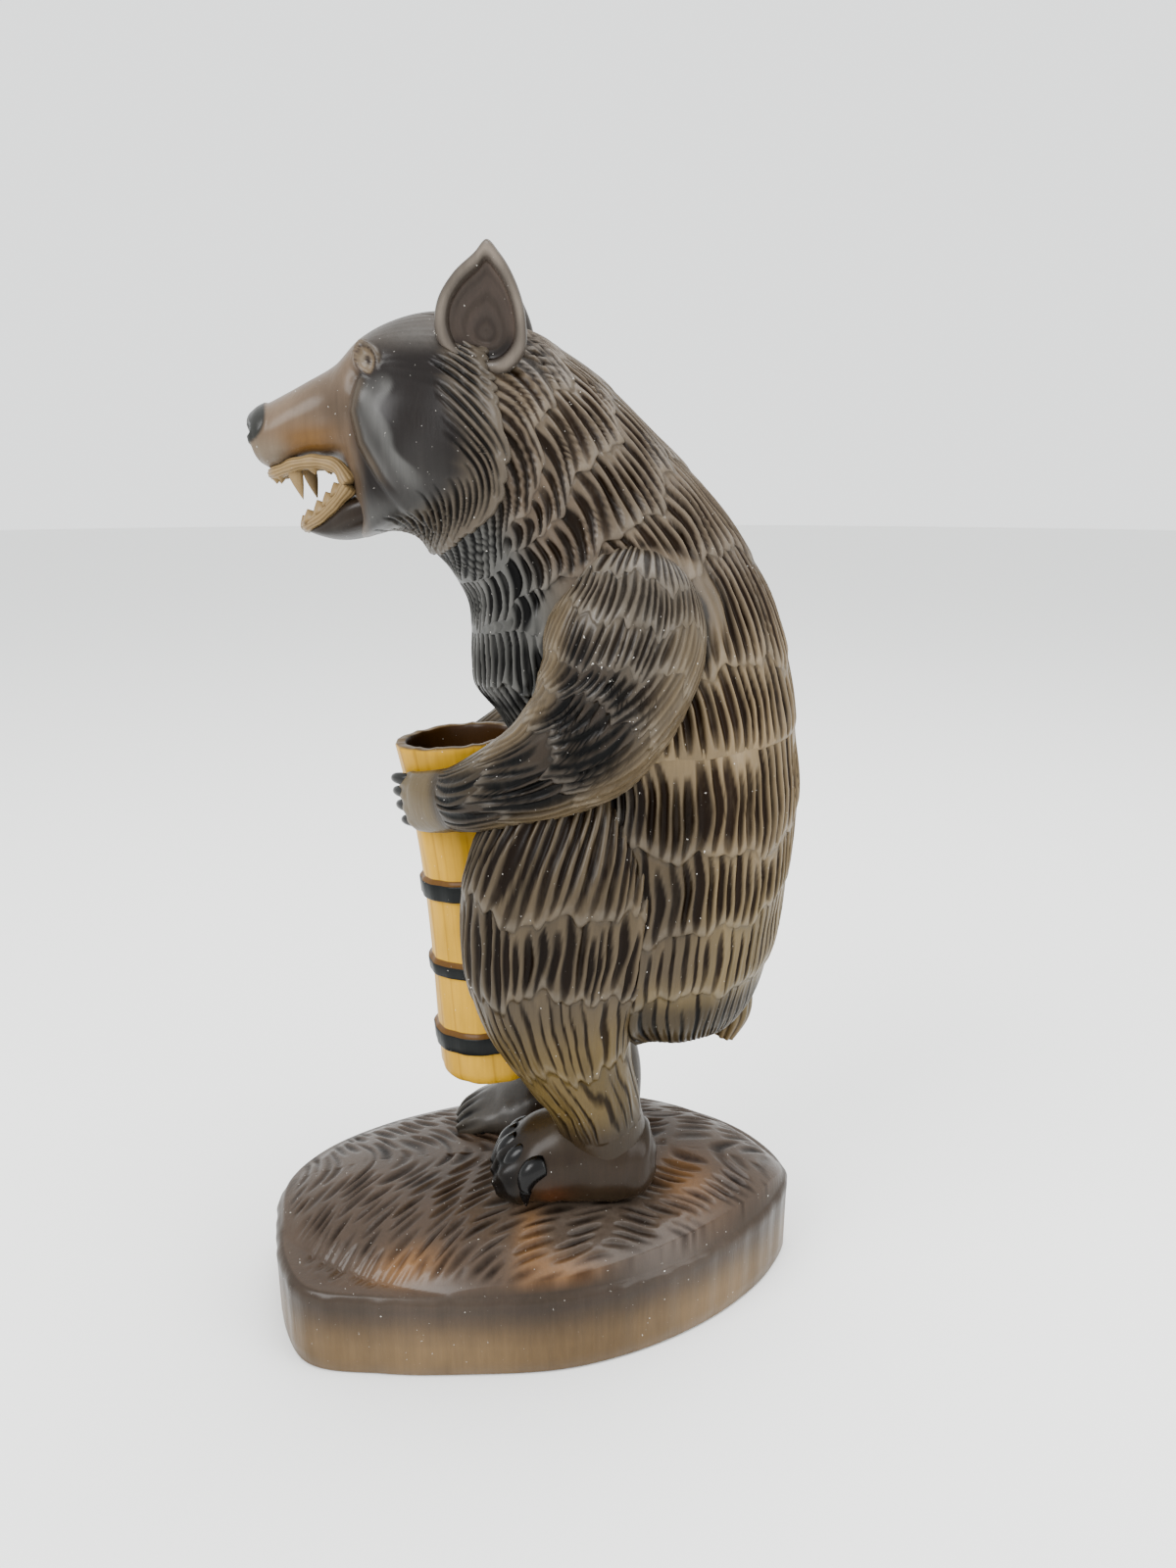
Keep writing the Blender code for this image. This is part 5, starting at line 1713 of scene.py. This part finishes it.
def plinth():
    """The hand-cut oval: sides, bevel and a polar net over the carved ground.

    Point = outline * (1 - inset / distance) on the side, and outline * share on the ground.
    """
    half = np.array([PLINTH_WIDTH / 2, PLINTH_LENGTH / 2])
    outline = closed_outline(PLINTH_OUTLINE * half, PLINTH_COLUMNS)
    distance = np.hypot(outline[:, 0], outline[:, 1])
    turn = turns(PLINTH_COLUMNS)
    chip = 0.12 * np.sin(31 * turn) + 0.1 * np.sin(57 * turn + 1)
    inset, height = PLINTH_SIDE[:, 0:1], PLINTH_SIDE[:, 1:2]
    kept = 1 - (inset + 0.25 + chip * (inset < 0.5)) / distance
    side = np.stack([outline[:, 0] * kept, outline[:, 1] * kept, height - RIM_HEIGHT + 0 * kept], axis=-1)
    shares = np.concatenate([np.linspace(1.0, 0.2, 104), np.linspace(0.19, 0.01, 12)])[:, None]
    top = outline * (1 - (PLINTH_EDGE + 0.1) / distance)[:, None]
    x, y = top[:, 0] * shares, top[:, 1] * shares
    lift = ground_lift(x, y)[0] * slope((1 - shares) * distance, 2.5, 6.0)
    points = np.concatenate([side, np.stack([x, y, mound_height(x, y) + lift], axis=-1)])
    on_top = (np.arange(len(points)) >= len(PLINTH_SIDE))[:, None]
    x, y, z = points[..., 0], points[..., 1], points[..., 2]
    cut = ground_lift(x, y)[1]
    inner = slope(np.hypot(x / half[0], y / half[1]), 0.96, 0.90) * on_top
    patches = (
        ("ground orange", 0.7 * np.exp(-(((x - px) / rx) ** 2) - ((y - py) / ry) ** 2) * on_top)
        for px, py, rx, ry in ORANGE_PATCHES
    )
    stains = stained(
        points, "side low",
        ("side top", slope(z, -17, -4) * (1 - on_top)), ("ground", 1.0 * on_top), *patches,
    )
    foot_x, foot_y, shade_reach = FOOT_SHADE
    foot_near = np.exp(-((np.hypot(x - foot_x, y - foot_y) / shade_reach) ** 4))
    marks = {
        "cut": np.where(on_top, cut * inner, 0.15 + 0.15 * np.sin(5 * turn + 1.0)),
        "lip": 0.5 * (1 - cut) * inner * foot_near,
        # Painted shadow round the left foot
        "shade": 0.25 * foot_near * on_top,
    }
    make_piece("plinth", points, stains, marks, GROUND)


trunk()
head()
jaw()
gums()
teeth()
arms()
legs()
feet()
tail()
ears()
barrel()
plinth()


# Floor, light and camera

# The floor and the place that the lights face, in metres

FLOOR_RADIUS = 6.0
LIT_PLACE = (0.0, 0.0, 0.15)

# The photograph's focal length and height in its own pixels, the sensor's width in millimetres,
# and the camera's place in drawn millimetres over the floor and its tilt down in degrees

PHOTO_FOCAL_LENGTH = 1202.0
PHOTO_HEIGHT = 1600.0
SENSOR_WIDTH = 36.0
CAMERA_PLACE = (327.0, 17.0, 241.0)
CAMERA_DOWN = 14.6


def plain_floor():
    """A wide round floor, pale and matt."""
    turn = turns(96)
    mesh = bpy.data.meshes.new("floor")
    rim = np.column_stack([np.cos(turn) * FLOOR_RADIUS, np.sin(turn) * FLOOR_RADIUS, np.zeros(96)])
    mesh.from_pydata(rim.tolist(), [], [list(range(96))])
    floor = placed_object("floor", mesh)
    material = bpy.data.materials.new("pale floor")
    material.use_nodes = True
    shader = material.node_tree.nodes["Principled BSDF"]
    shader.inputs["Base Color"].default_value = (0.80, 0.80, 0.79, 1.0)
    shader.inputs["Roughness"].default_value = 0.7
    mesh.materials.append(material)


def soft_light(name, place, size, power):
    lamp = bpy.data.lights.new(name, "AREA")
    lamp.shape = "RECTANGLE"
    lamp.size, lamp.size_y = size
    lamp.energy = power
    light = placed_object(name, lamp)
    light.location = place
    way = Vector(LIT_PLACE) - Vector(place)
    light.rotation_euler = way.to_track_quat("-Z", "Y").to_euler()


def studio():
    world = bpy.data.worlds.new("pale room")
    world.use_nodes = True
    world.node_tree.nodes["Background"].inputs["Color"].default_value = (0.80, 0.82, 0.82, 1.0)
    world.node_tree.nodes["Background"].inputs["Strength"].default_value = 2.35
    bpy.context.scene.world = world
    soft_light("key light", (0.75, -0.75, 0.95), (0.7, 0.7), 22.0)
    soft_light("top light", (-0.1, 0.3, 1.2), (0.8, 0.8), 17.0)
    soft_light("side light", (0.6, 0.9, 0.55), (0.5, 0.8), 7.5)


def camera():
    """The photograph's view: the fitted place, looking along -X and down."""
    eye = bpy.data.cameras.new("camera")
    eye.lens = SENSOR_WIDTH * PHOTO_FOCAL_LENGTH / PHOTO_HEIGHT
    eye.sensor_width = SENSOR_WIDTH
    eye.clip_start = 0.01
    seen = placed_object("camera", eye)
    seen.location = tuple(value * MM for value in CAMERA_PLACE)
    seen.rotation_euler = (radians(90.0 - CAMERA_DOWN), 0.0, radians(90.0))
    bpy.context.scene.camera = seen


plain_floor()
studio()
camera()
